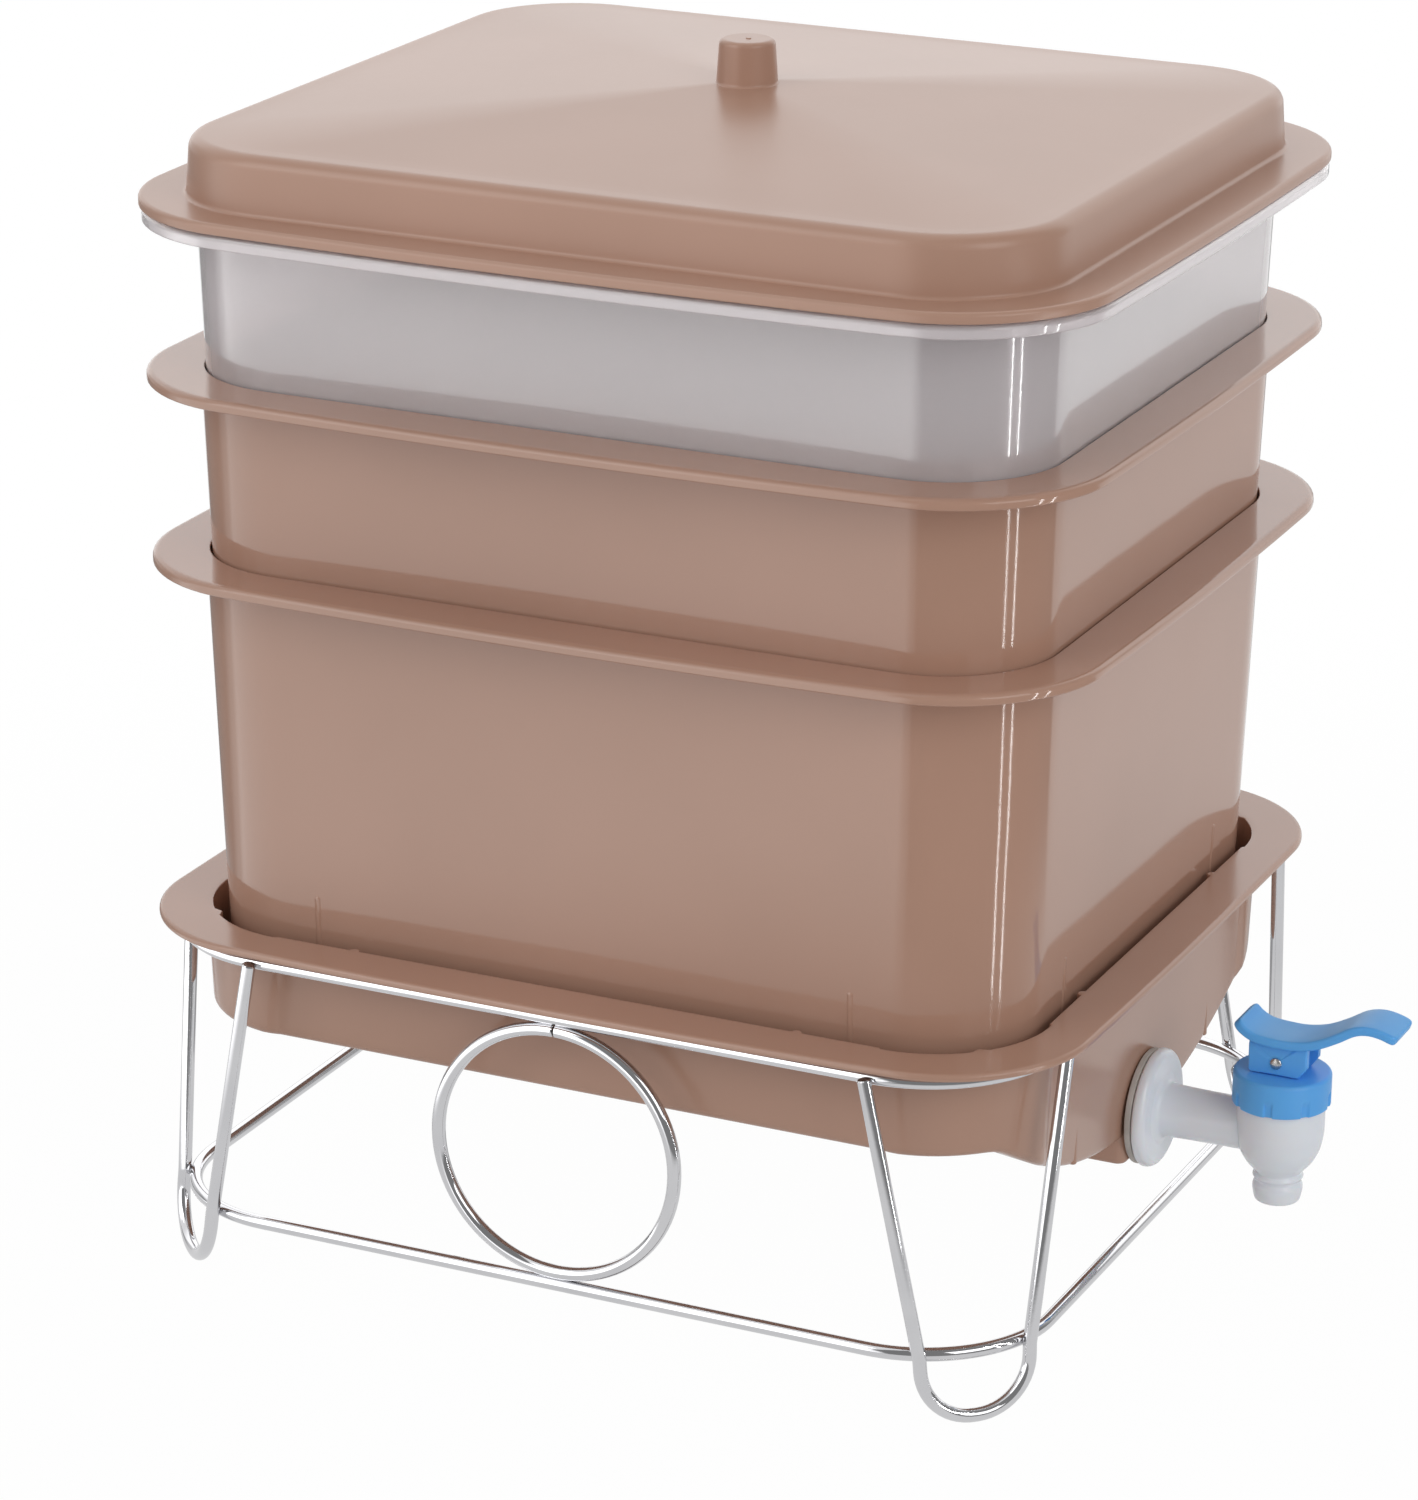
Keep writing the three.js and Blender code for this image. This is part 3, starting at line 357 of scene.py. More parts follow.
def brace_ring(sign):
    """Circle in the plane of the loops' long side: p = c + r (sin a, 0, cos a), open at a = 0."""
    radius = (upper_middle[2] - lower_middle[2]) / 2 - 2 * wire_radius + weld_squeeze
    angle = np.linspace(seam_gap / radius / 2, 2 * math.pi - seam_gap / radius / 2, ring_steps + 1)
    centre = np.array([
        upper_middle[0], upper_middle[1] + sign * loop_half[1], (upper_middle[2] + lower_middle[2]) / 2,
    ])
    circle = np.stack([np.sin(angle), np.zeros(ring_steps + 1), np.cos(angle)], -1)
    return tube(centre + radius * circle, (0, 1, 0))


piece("stand_ring_front", [brace_ring(-1)], chrome_wire, "chrome_wire", "stand", "ring_front")
piece("stand_ring_back", [brace_ring(1)], chrome_wire, "chrome_wire", "stand", "ring_back")

# The collection tank: taupe polypropylene, injection moulded with a flat flange. Its corners stand
# out a little from the flats, and the floor falls to the tap in a wide trough laid at a slope.
tank_rim_x = 16.8
tank_rim_y = 14.8
tank_bow = (2.2, 5.1)
tank_flange_corner = 49.6
tank_mouth_corner = 43.6
tank_flange = 2.7
tank_wall = 1.8
tank_draft_share = 0.035
tank_side_depth = 38.8
sump_depth = 76.1
sump_radius = 225
sump_length = 297
sump_crease = 2
corner_outset = 1.2
corner_reach_x = 40.9
corner_reach_y = 43.2
crease_width = 3.5
tank_fillet = 3
packed_seat = 0.3
spacer_radius = 1.9
spacer_x = 86.5
spacer_y = 65
mouth_step = 0.9
mouth_step_x = 118
mouth_step_y = 96.5
mouth_step_half = 0.4
mouth_flat = 0.5
mouth_depth = 1.2
mouth_round = 0.45
flange_under_round = 0.7
flange_edge_round = 1.5
wall_lap = 1
wall_rows = 14
floor_rings = 46
tank_corner_steps = 20
tank_places_x = 41
tank_places_y = 33


def crowded(places, half, count):
    """Shares from -1 to 1 in even steps, with extra ones close round each place, on both sides of
    the middle, so that a narrow rib or step has its own points."""
    near = np.array([-2.2, -1.9, -1.6, -1.1, -0.4, 0.4, 1.1, 1.6, 1.9, 2.2])
    extra = (np.array(places)[:, None] + near).ravel() / half
    extra = extra[np.abs(extra) < 1]
    even = np.linspace(-1, 1, count)
    clear = np.abs(even[:, None] - np.concatenate([extra, -extra])).min(1) > 1 / half
    clear[[0, -1]] = True
    return np.unique(np.concatenate([even[clear], extra, -extra]))


def moulding(body, rim, normal, ledge, profile):
    """A profile carried round an outline. For the profile's point (out, z) it is
    body + max(out, 0) / ledge (rim - body) + min(out, 0) normal, at the height z."""
    out = profile[:, 0][:, None, None]
    flat = body + np.maximum(out, 0) / ledge * (rim - body) + np.minimum(out, 0) * normal
    height = np.broadcast_to(profile[:, 1][:, None, None], flat.shape[:2] + (1,))
    return np.concatenate([flat, height], -1)


def smooth(value, low, high):
    """0 below low, 1 above high, and 3 t^2 - 2 t^3 between."""
    t = np.clip((value - low) / (high - low), 0, 1)
    return t * t * (3 - 2 * t)


def taupe(name, roughness, waves, light=(191, 151, 131), dark=(185, 146, 126)):
    """Moulded polypropylene in taupe: soft clouds of colour, a fine flow grain down the walls that
    shows in the gloss, tiny specks, and walls that wave a little in reflections."""
    look, shader, place = finish(name, {"IOR": 1.49})
    cloud = place.noise(7, 3)
    grain = place.stretched((1, 1, 0.03)).noise(260, 2)
    speck = place.noise(1500, 1).step(0.74, 0.8)
    wave = place.noise(16, 1) * waves + 0.002 * grain + 0.002 * place.noise(700, 2)
    tint = cloud.step(0.3, 0.7).mix(colour(*light), colour(*dark))
    feed(
        shader,
        BaseColor=(0.1 * speck).mix(tint, colour(214, 182, 166)),
        Roughness=roughness + 0.02 * grain + 0.02 * cloud,
        Normal=wave.bump(0.001),
    )
    return look


taupe_tank = taupe("taupe_tank", 0.17, 0.3)
tank_low, tank_high = reach("collection_tank")
tank_middle = (tank_low + tank_high) / 2
tank_top = tank_high[2]
tank_flange_half = (tank_high - tank_low)[:2] / 2 - np.array(tank_bow)
mouth_half = tank_flange_half - np.array([tank_rim_x, tank_rim_y])
pad_face = reach("tap_outer_washer")[0][0] - packed_seat - tank_middle[0]
straight_half = mouth_half - tank_mouth_corner
tank_u, tank_n = track(
    crowded([spacer_x, mouth_step_x], straight_half[0], tank_places_x),
    crowded([spacer_y, mouth_step_y], straight_half[1], tank_places_y),
    tank_corner_steps,
)
mouth_line = outline(tank_u, tank_n, mouth_half, tank_mouth_corner)
tank_rim = outline(tank_u, tank_n, tank_flange_half, tank_flange_corner, tank_bow)
is_long = np.abs(tank_n[:, 1]) > np.abs(tank_n[:, 0])
in_corner = np.minimum(np.abs(tank_n[:, 0]), np.abs(tank_n[:, 1])) > 0.001
along_wall = np.where(is_long, np.abs(mouth_line[:, 0]), np.abs(mouth_line[:, 1]))
outset_from = np.where(is_long, mouth_half[0] - corner_reach_x, mouth_half[1] - corner_reach_y)
outset = corner_outset * smooth(along_wall, outset_from - crease_width, outset_from + crease_width)
step_from = np.where(is_long, mouth_step_x, mouth_step_y)
spacer_at = np.where(is_long, spacer_x, spacer_y)
bulge = np.sqrt(np.maximum(spacer_radius ** 2 - (along_wall - spacer_at) ** 2, 0))
mitre = np.abs(np.abs(tank_n[:, 0]) - np.abs(tank_n[:, 1])) * tank_mouth_corner / math.sqrt(2)
bulge = bulge + np.where(in_corner, np.sqrt(np.maximum(spacer_radius ** 2 - mitre ** 2, 0)), 0)
notch = mouth_step * smooth(along_wall, step_from - mouth_step_half, step_from + mouth_step_half)


def tank_floor(x, y):
    """Height of the underside: the lower of the flat sides and the trough, a cylinder of radius R
    laid at the slope, z = low + (face - x) tan(slope) + R / cos(slope) (1 - sqrt(1 - (y / R)^2)).
    Their crease is soft: the lower of a and b is (a + b - sqrt((a - b)^2 + c^2)) / 2."""
    slope = math.atan2(sump_depth - tank_side_depth, sump_length)
    lift = 1 - np.sqrt(1 - (y / sump_radius) ** 2)
    low = tank_top - sump_depth
    trough = low + (pad_face - x) * math.tan(slope) + sump_radius / math.cos(slope) * lift
    flat = tank_top - tank_side_depth
    return (flat + trough - np.sqrt((flat - trough) ** 2 + sump_crease ** 2)) / 2


def tank_skin(line, from_z, lift, fillet):
    """Wall, fillet and floor below a level. The wall runs down the line with its draft to the
    height floor(x, y) + fillet, an arc turns into the floor, and the floor's rings shrink to the
    middle, where z = floor(x, y) + lift."""
    def at(depth, inset):
        flat = line - (tank_draft_share * depth + inset)[..., None] * tank_n
        return flat, tank_floor(flat[..., 0], flat[..., 1]) + lift

    none = np.zeros(len(line))
    flat, floor = at(none + tank_top - from_z, none)
    for _ in range(4):
        flat, floor = at(tank_top - floor - fillet, none)
    depth = tank_top - floor - fillet
    share = np.linspace(0, 1, wall_rows)[:, None]
    wall_z = from_z + (tank_top - depth - from_z) * share
    wall_flat, _ = at(tank_top - wall_z, np.zeros_like(wall_z))
    wall = np.concatenate([wall_flat, wall_z[..., None]], -1)
    angle = np.linspace(0, math.pi / 2, 7)[1:, None]
    turn_flat, turn_floor = at(depth + 0 * angle, fillet * (1 - np.cos(angle)) + none)
    turn_z = turn_floor + fillet * (1 - np.sin(angle))
    turn = np.concatenate([turn_flat, turn_z[..., None]], -1)
    shrink = np.linspace(1, 0, floor_rings)[1:, None, None] ** 0.9
    bed_flat = turn_flat[-1] * shrink
    bed_z = tank_floor(bed_flat[..., 0], bed_flat[..., 1]) + lift
    bed = np.concatenate([bed_flat, bed_z[..., None]], -1)
    return np.concatenate([wall, turn, bed])


def collection_tank():
    """Underside and outer wall, flange, and inner wall and floor, in one skin. The outer wall is
    the mouth's line grown by the wall and the corners' outset; the inner one has the half-round
    spacers that hold the tray off it, and the mouth's small steps."""
    outer_line = mouth_line + (tank_wall + outset)[:, None] * tank_n
    inner_line = mouth_line + (notch - bulge)[:, None] * tank_n
    under = tank_top - tank_flange
    outer = tank_skin(outer_line, under - wall_lap, 0, tank_fillet)[::-1]
    inner = tank_skin(inner_line, tank_top - mouth_depth, tank_wall, tank_fillet - tank_wall / 2)
    edge = rounded(
        [(wall_lap, -tank_flange), (tank_rim_x, -tank_flange), (tank_rim_x, 0), (mouth_flat, 0)],
        [flange_under_round, flange_edge_round],
    )
    foot = outer_line - (tank_draft_share * (tank_flange + wall_lap)) * tank_n
    hollow = np.array([[0.25, -tank_flange - 0.4], [0.6, -tank_flange - 0.1]])
    plate = moulding(foot, tank_rim, tank_n, tank_rim_x, np.concatenate([hollow, edge]))
    lip = rounded([(mouth_flat, 0), (0, 0), (0, -mouth_depth)], [mouth_round], steps=4, guard=5)[1:-1]
    mouth = moulding(inner_line, inner_line + tank_n, tank_n, 1, lip)
    plate[..., 2] += tank_top
    mouth[..., 2] += tank_top
    skin = np.concatenate([outer, plate, mouth, inner])
    skin[..., :2] += tank_middle[:2]
    return surface(skin)


def block(half, corner, low, high, edge, centre, lean=(0, 0), corner_steps=8):
    """Upright block with round corners and round top and bottom edges: rings of a rounded
    rectangle that shrink to a pole at each end. It leans by `lean` for each millimetre of rise."""
    u, n = track(np.linspace(-1, 1, 3), np.linspace(-1, 1, 3), corner_steps)
    line = outline(u, n, half, corner)
    profile = rounded([(-corner, low), (0, low), (0, high), (-corner, high)], [edge, edge], steps=5)
    rings = moulding(line, line, n, 1, profile)
    ends = [rings[0] * (0, 0, 1), rings[-1] * (0, 0, 1)]
    rings = np.concatenate([ends[:1], rings, ends[1:]])
    rise = rings[..., 2:] - low
    rings[..., :2] += np.array(centre) + rise * np.array(lean)
    return surface(rings)


tank_rib_half = (1.5, 7)
tank_rib_corner = 1.35
tank_rib_places = (60, 66)
tank_rib_top = 18.1
rib_edge = 0.6


def wall_ribs(middle, wall_half, places, rib_half, corner, edge, foot, top, lean=0):
    """Eight upright ribs, two on each wall, at plus and minus places from its middle. A rib is
    rib_half thick and deep, its outer face lies on the wall, and foot gives its low end there."""
    made = []
    for side in (-1, 1):
        for place in (-1, 1):
            for along, out in ((0, 1), (1, 0)):
                at_wall = np.zeros(2)
                at_wall[along] = place * places[along]
                at_wall[out] = side * wall_half[out]
                half = np.zeros(2)
                half[along], half[out] = rib_half
                way = np.zeros(2)
                way[out] = side
                centre = middle[:2] + at_wall - rib_half[1] * way
                made.append(block(half, corner, foot(*at_wall), top, edge, centre, lean * way))
    return made


def tank_ribs():
    """The eight ribs inside the tank that carry the lowest tray's floor."""
    def foot(x, y):
        return tank_floor(x, y) + tank_wall / 2

    top = tank_top - tank_rib_top
    return wall_ribs(
        tank_middle, mouth_half, tank_rib_places, tank_rib_half, tank_rib_corner, rib_edge, foot, top,
    )


pocket_corner = 4
pocket_edge = 1.6
pocket_lap = 4
pocket_half = 19
pocket_past_nut = 16.6


def drain_pocket():
    """The box under the deep end of the sump, where the tap's nut sits."""
    low_x = reach("tap_nut")[0][0] - pocket_past_nut
    high_x = pad_face + tank_middle[0]
    half = ((high_x - low_x) / 2, pocket_half)
    high = tank_top - sump_depth + pocket_lap
    return block(half, pocket_corner, tank_low[2], high, pocket_edge, ((low_x + high_x) / 2, tank_middle[1]))


piece(
    "tank", [collection_tank()] + tank_ribs() + [drain_pocket()],
    taupe_tank, "taupe_plastic", "tank", "collection_tank",
)

# The working trays: the same taupe plastic, moulded as a drafted box with a bowed flange whose edge
# turns down in a lip. The floor is full of round holes for the worms and the liquid.
tray_rim_x = 15.5
tray_rim_y = 14.2
tray_bow = (3, 6.4)
tray_corner = 44
tray_flange_corner = 51
tray_wall = 1.5
tray_floor = 2.2
tray_plate = 2.2
tray_lip_depth = 4
tray_lip = 1.8
tray_lean_share = 0.0323
tray_foot_radius = 3.2
tray_corner_steps = 16
hole_radius = 3.2
hole_pitch = 14
holes_x = 19
holes_y = 17
hole_quarter = 4
guide_reach = 0.4
guide_half = (1.6, 1.6)
guide_corner = 1.5
guide_edge = 1.2
guide_low = 8
guide_high = 34
guide_places = (104, 74)
floor_rib_half = (1.5, 4)
floor_rib_corner = 1.2
floor_rib_places = (70, 55)
nest_depth = 85.3


def perforated(top, bottom, centre):
    """A plate of square cells, each with a round hole. A cell's rows are its square edge and its
    circle on top, then its circle and square edge underneath: p = c + pitch / 2 s_j or c + r e_j."""
    share = np.linspace(-1, 1, hole_quarter, endpoint=False)
    angle = np.radians(-45) + np.arange(4 * hole_quarter) * math.pi / 2 / hole_quarter
    square = np.concatenate([
        np.stack([math.cos(b) - math.sin(b) * share, math.sin(b) + math.cos(b) * share], -1)
        for b in (0, math.pi / 2, math.pi, 1.5 * math.pi)
    ]) * hole_pitch / 2
    circle = hole_radius * np.stack([np.cos(angle), np.sin(angle)], -1)
    cell = np.stack([square, circle, circle, square])
    height = np.array([top, top, bottom, bottom])[:, None, None]
    cell = np.concatenate([cell, np.broadcast_to(height, cell.shape[:2] + (1,))], -1)
    points, faces = surface(cell)
    i = (np.arange(holes_x) - (holes_x - 1) / 2) * hole_pitch + centre[0]
    j = (np.arange(holes_y) - (holes_y - 1) / 2) * hole_pitch + centre[1]
    x, y = np.meshgrid(i, j)
    centres = np.stack([x.ravel(), y.ravel(), np.zeros(x.size)], -1)
    offsets = np.arange(x.size) * len(points)
    return (centres[:, None] + points).reshape(-1, 3), (offsets[:, None, None] + faces).reshape(-1, 4)


def plate_edge(height):
    """The outer edge of the perforated plate, with as many points as the tray's outline."""
    line = []
    for side, (count, across) in enumerate([(holes_y, holes_x), (holes_x, holes_y)] * 2):
        base = side * math.pi / 2
        along = np.linspace(-count, count, count * hole_quarter, endpoint=False)
        x = across * math.cos(base) - along * math.sin(base)
        y = across * math.sin(base) + along * math.cos(base)
        line.append(np.stack([x * hole_pitch / 2, y * hole_pitch / 2, np.full(len(x), height)], -1))
    return np.concatenate(line)


tray_u, tray_n = track(
    np.linspace(-1, 1, hole_quarter * holes_x - tray_corner_steps + 1),
    np.linspace(-1, 1, hole_quarter * holes_y - tray_corner_steps + 1),
    tray_corner_steps,
)


def tray(node, lip_depth=tray_lip_depth):
    """One skin from the plate's edge underneath, up the outer wall, over the flange and its lip,
    down the inner wall and back to the plate's edge, and the perforated plate between."""
    low, high = reach(node)
    middle = (low + high) / 2
    depth = high[2] - low[2]
    flange_half = (high - low)[:2] / 2 - np.array(tray_bow)
    body_half = flange_half - np.array([tray_rim_x, tray_rim_y])
    body = outline(tray_u, tray_n, body_half, tray_corner)
    rim = outline(tray_u, tray_n, flange_half, tray_flange_corner, tray_bow)
    outer_foot = -tray_lean_share * depth
    inner_foot = -tray_lean_share * (depth - tray_floor) - tray_wall
    profile = rounded([
        (outer_foot - 2 * tray_foot_radius, -depth),
        (outer_foot, -depth),
        (-tray_lean_share * tray_plate, -tray_plate),
        (tray_rim_x - tray_lip, -tray_plate),
        (tray_rim_x - tray_lip, -lip_depth),
        (tray_rim_x, -lip_depth),
        (tray_rim_x, 0),
        (-tray_wall, 0),
        (inner_foot, -depth + tray_floor),
        (inner_foot - 2 * tray_foot_radius, -depth + tray_floor),
    ], [tray_foot_radius, 1.2, 0.6, 0.5, 0.7, 2, 0.7, tray_foot_radius - 1])
    rings = moulding(body, rim, tray_n, tray_rim_x, profile)
    edges = [plate_edge(-depth)[None], rings, plate_edge(-depth + tray_floor)[None]]
    skin = np.concatenate(edges)
    skin[..., 2] += high[2]
    skin[..., :2] += middle[:2]
    plate = perforated(low[2] + tray_floor, low[2], middle)
    return [surface(skin), plate], middle, body_half, low[2], high[2]


def carrying_ribs(middle, body_half, floor_z, flange_z):
    """Ribs inside, in the angle of floor and wall, that carry the next tray."""
    def foot(x, y):
        return floor_z + tray_floor / 2

    wall = body_half - tray_lean_share * (flange_z - floor_z)
    top = flange_z - nest_depth
    return wall_ribs(
        middle, wall, floor_rib_places, floor_rib_half, floor_rib_corner, rib_edge, foot, top,
        tray_lean_share,
    )


def guide_ribs(middle, body_half, floor_z, flange_z):
    """Thin ribs low on the outside, which keep the tray clear of the one that it sits in."""
    def foot(x, y):
        return floor_z + guide_low

    wall = body_half - tray_lean_share * (flange_z - floor_z - guide_low) + guide_reach
    top = floor_z + guide_high
    return wall_ribs(
        middle, wall, guide_places, guide_half, guide_corner, guide_edge, foot, top, tray_lean_share,
    )


taupe_tray = taupe("taupe_tray", 0.06, 0.25)
for node in ("lower_tray", "middle_tray"):
    skins, *levels = tray(node)
    ribs = carrying_ribs(*levels) + guide_ribs(*levels)
    piece("working_" + node, skins + ribs, taupe_tray, "taupe_plastic", node, node)

# The top working tray is the same box in clear polypropylene, so that the scraps can be seen. The
# plastic is milky: sharp in its gloss, and blurred when one looks through it.
clear_lip_depth = 5


def clear_plastic():
    """Clear polypropylene: passes light with a haze, with the flow grain of the mould in the haze."""
    look, shader, place = finish("clear_plastic", {
        "IOR": 1.42,
        "Transmission Weight": 0.58,
        "Coat Weight": 1.0,
        "Coat Roughness": 0.03,
    })
    cloud = place.noise(9, 3)
    grain = place.stretched((1, 1, 0.02)).noise(300, 2)
    feed(
        shader,
        BaseColor=cloud.mix(colour(254, 247, 248), colour(247, 241, 243)),
        Roughness=0.12 + 0.1 * grain,
        Normal=(place.noise(18, 1) * 0.25 + 0.004 * grain).bump(0.001),
    )
    return look


skins, *levels = tray("clear_tray", clear_lip_depth)
ribs = carrying_ribs(*levels)
piece("working_clear_tray", skins + ribs, clear_plastic(), "clear_plastic", "clear_tray", "clear_tray")

# The lid: one taupe moulding that lies on the top flange. A crown with upright sides and a soft
# edge rises to a shallow pyramid, and the knob stands on its point with the gate's mark on top.
lid_ledge_x = 14.6
lid_ledge_y = 10.5
lid_bow = (3, 6.4)
lid_flange_corner = 51
lid_crown_corner = 45
lid_flange = 4
lid_skirt = 20.5
lid_skirt_draft = 1.6
lid_edge = 5
lid_rise = 10.2
lid_wall = 2.2
knob_base = 10.9
knob_top = 9.9
knob_edge = 1.8
knob_fillet = 1.2


def lathe(profile, centre, axis=(0, 0, 1), sides=64):
    """A turned piece: point (k, j) = c + h_k axis + r_k (cos a_j x + sin a_j y), where x and y are
    square to the axis. The profile's rows are (r, h)."""
    axis = np.array(axis, float)
    x = np.array([1.0, 0, 0]) if abs(axis[0]) < 0.5 else np.array([0, 1.0, 0])
    y = np.cross(axis, x)
    angle = np.linspace(0, 2 * math.pi, sides, endpoint=False)[None, :, None]
    profile = np.array(profile, float)
    radius = profile[:, 0][:, None, None]
    height = profile[:, 1][:, None, None]
    return surface(np.array(centre) + height * axis + radius * (np.cos(angle) * x + np.sin(angle) * y))


def lid_shell():
    """Pyramid, soft edge, skirt and flange outside, then the same inside. The pyramid's rings are
    the crown's outline shrunk to the middle, and z rises evenly as they shrink."""
    low, high = reach("lid")
    middle = (low + high) / 2
    flange_half = (high - low)[:2] / 2 - np.array(lid_bow)
    crown_half = flange_half - np.array([lid_ledge_x, lid_ledge_y])
    crown = outline(tray_u, tray_n, crown_half, lid_crown_corner)
    rim = outline(tray_u, tray_n, flange_half, lid_flange_corner, lid_bow)
    skirt_z = lid_flange + lid_skirt
    inner = -lid_wall - lid_skirt_draft
    profile = rounded([
        (-lid_skirt_draft - 2 * lid_edge, skirt_z + lid_edge / 16),
        (-lid_skirt_draft, skirt_z),
        (0, lid_flange),
        (lid_ledge_x, lid_flange),
        (lid_ledge_x, 0),
        (-lid_wall, 0),
        (inner, skirt_z - lid_wall),
        (inner - 2 * lid_edge, skirt_z - lid_wall + lid_edge / 16),
    ], [lid_edge, 1.5, 1.6, 0.7, 0.7, lid_edge - lid_wall], steps=10)
    rings = moulding(crown, rim, tray_n, lid_ledge_x, profile)
    shrink = np.concatenate([np.linspace(0, 0.1, 7)[:-1], np.linspace(0.1, 1, 19)])[:-1, None, None]
    apex = skirt_z + lid_rise
    outer_cap = rings[0] * np.concatenate([shrink, shrink, 0 * shrink + 1], -1)
    outer_cap[..., 2] = apex + (rings[0][0, 2] - apex) * shrink[..., 0]
    inner_cap = rings[-1] * np.concatenate([shrink, shrink, 0 * shrink + 1], -1)
    inner_cap[..., 2] = apex - lid_wall + (rings[-1][0, 2] - apex + lid_wall) * shrink[..., 0]
    skin = np.concatenate([outer_cap, rings, inner_cap[::-1]])
    skin += np.array([middle[0], middle[1], low[2]])
    return surface(skin), middle, low[2] + apex, high[2]


def lid_knob(middle, apex, top):
    """Tapered knob with a round top edge, a small fillet at its foot and the gate's mark."""
    foot = apex - 1.5
    profile = rounded([
        (0, foot), (knob_base + knob_fillet * 2, foot), (knob_base, apex - 0.5), (knob_top, top), (0, top),
    ], [0, knob_fillet, knob_edge])
    gate = rounded([(0, 0.3), (0.9, 0.3), (1.1, -0.6), (0, -0.6)], [0.2, 0.2])
    place = np.array([middle[0], middle[1], 0])
    return [lathe(profile, place), lathe(gate, place + np.array([0.6, -0.5, top]), sides=24)]


taupe_lid = taupe("taupe_lid", 0.28, 0.12)
lid_surface, lid_middle, lid_apex, lid_top = lid_shell()
knob = lid_knob(lid_middle, lid_apex, lid_top - 0.3)
piece("lid_and_knob", [lid_surface] + knob, taupe_lid, "taupe_plastic", "lid", "lid")

# The tap's body: one glossy white moulding with a disc against the tank, a barrel, an egg-shaped
# valve chamber and a short beaded nozzle. Its threaded stub goes through the tank's wall.
tap_rise = 8.2
tap_z = tank_top - sump_depth + tap_rise
valve_x = (reach("valve_plug")[0][0] + reach("valve_plug")[1][0]) / 2
bore = 5
stub_radius = 10
barrel_radius = 9.6
barrel_flare = 3.5
disc_radius = 22
disc_thickness = 4.8
chamber_radius = 16
chamber_bore = 11
chamber_floor = 15.4
chamber_neck = 6
neck_step = 0.4
barrel_sides = 72


def white_plastic():
    """Glossy white polyethylene with a cool cast, a little cloudy, with light passing in its skin."""
    fixed = {"IOR": 1.5, "Subsurface Weight": 0.12, "Subsurface Scale": 0.004}
    look, shader, place = finish("tap_white", fixed)
    cloud = place.noise(60, 2)
    feed(
        shader,
        BaseColor=cloud.mix(colour(246, 250, 255), colour(240, 246, 255)),
        Roughness=0.2 + 0.08 * cloud,
        Normal=(place.noise(900, 2) * 0.01 + place.noise(90, 1) * 0.05).bump(0.001),
    )
    return look


def curve_through(points, steps=6):
    """A smooth line through points: the Catmull-Rom curve, whose tangent at a point is half the
    difference of its neighbours."""
    p = np.array(points, float)
    p = np.concatenate([[2 * p[0] - p[1]], p, [2 * p[-1] - p[-2]]])
    t = np.linspace(0, 1, steps, endpoint=False)[None, :, None]
    a, b, c, d = (p[k:len(p) - 3 + k, None] for k in range(4))
    square = (2 * a - 5 * b + 4 * c - d) / 2
    cube = (3 * b - a - 3 * c + d) / 2
    line = b + (c - a) / 2 * t + square * t ** 2 + cube * t ** 3
    return np.concatenate([line.reshape(-1, p.shape[1]), p[-2:-1]])


def tap_shapes():
    """Stub, disc and barrel turned about X, and chamber and nozzle turned about Z. The chamber's
    heights are measured from the barrel's axis."""
    low, high = reach("tap_body")
    disc_face = reach("tap_outer_washer")[1][0] + packed_seat
    stub = disc_face - low[0]
    front = stub + disc_thickness
    barrel_end = valve_x - low[0] - chamber_bore - 0.5
    flare = curve_through([
        (barrel_radius + barrel_flare, front), (barrel_radius + barrel_flare / 4, front + 1.2),
        (barrel_radius + barrel_flare / 14, front + 4), (barrel_radius - 0.1, front + 14),
        (barrel_radius - 0.2, barrel_end),
    ], 5)
    disc = rounded([
        (bore, 0), (stub_radius, 0), (stub_radius, stub),
        (disc_radius, stub), (disc_radius, front), (barrel_radius + barrel_flare, front),
    ], [0.8, 0, 1.2, 3], steps=8)
    inside = np.array([(bore, barrel_end), (bore, 0)])
    along = lathe(np.concatenate([disc[:-1], flare, inside]), (low[0], 0, tap_z), (1, 0, 0), barrel_sides)
    mouth = low[2] - tap_z
    egg = curve_through([
        (8.4, mouth + 0.8), (8.7, mouth + 2), (9, mouth + 3.7), (9.1, mouth + 5.1), (8.9, mouth + 6.3),
        (8.2, mouth + 7.3), (8.5, mouth + 8.3), (9.2, mouth + 9.3), (8.9, mouth + 10.3), (8.5, mouth + 11.1),
        (9.8, mouth + 12.7), (12.5, mouth + 16), (14.7, mouth + 20.5), (15.8, mouth + 26), (16, mouth + 30),
    ], 5)
    top = high[2] - tap_z
    neck = chamber_radius - neck_step
    rim = [(chamber_radius, top - chamber_neck), (neck, top - chamber_neck + neck_step), (neck, top)]
    seat = mouth + chamber_floor
    hollow = [(chamber_bore, top), (chamber_bore, seat), (bore, seat), (bore, mouth)]
    lip = rounded([(bore, mouth), (8, mouth), (8.4, mouth + 0.8)], [0.4], steps=4)
    upright = lathe(np.concatenate([lip[:-1], egg, rim, hollow]), (valve_x, 0, tap_z), sides=barrel_sides)
    return [along, upright]


tap_white = white_plastic()
piece("tap_moulding", tap_shapes(), tap_white, "tap_white", "tank", "tap_body")

# The tap is clamped to the tank's wall by a white hexagon nut inside, with a soft rubber washer on
# each side of the wall.
nut_sides = 6
nut_chamfer_height = 0.5
nut_chamfer = 1
nut_bore = 10.4
nut_steps = 72
washer_gap = 0.2


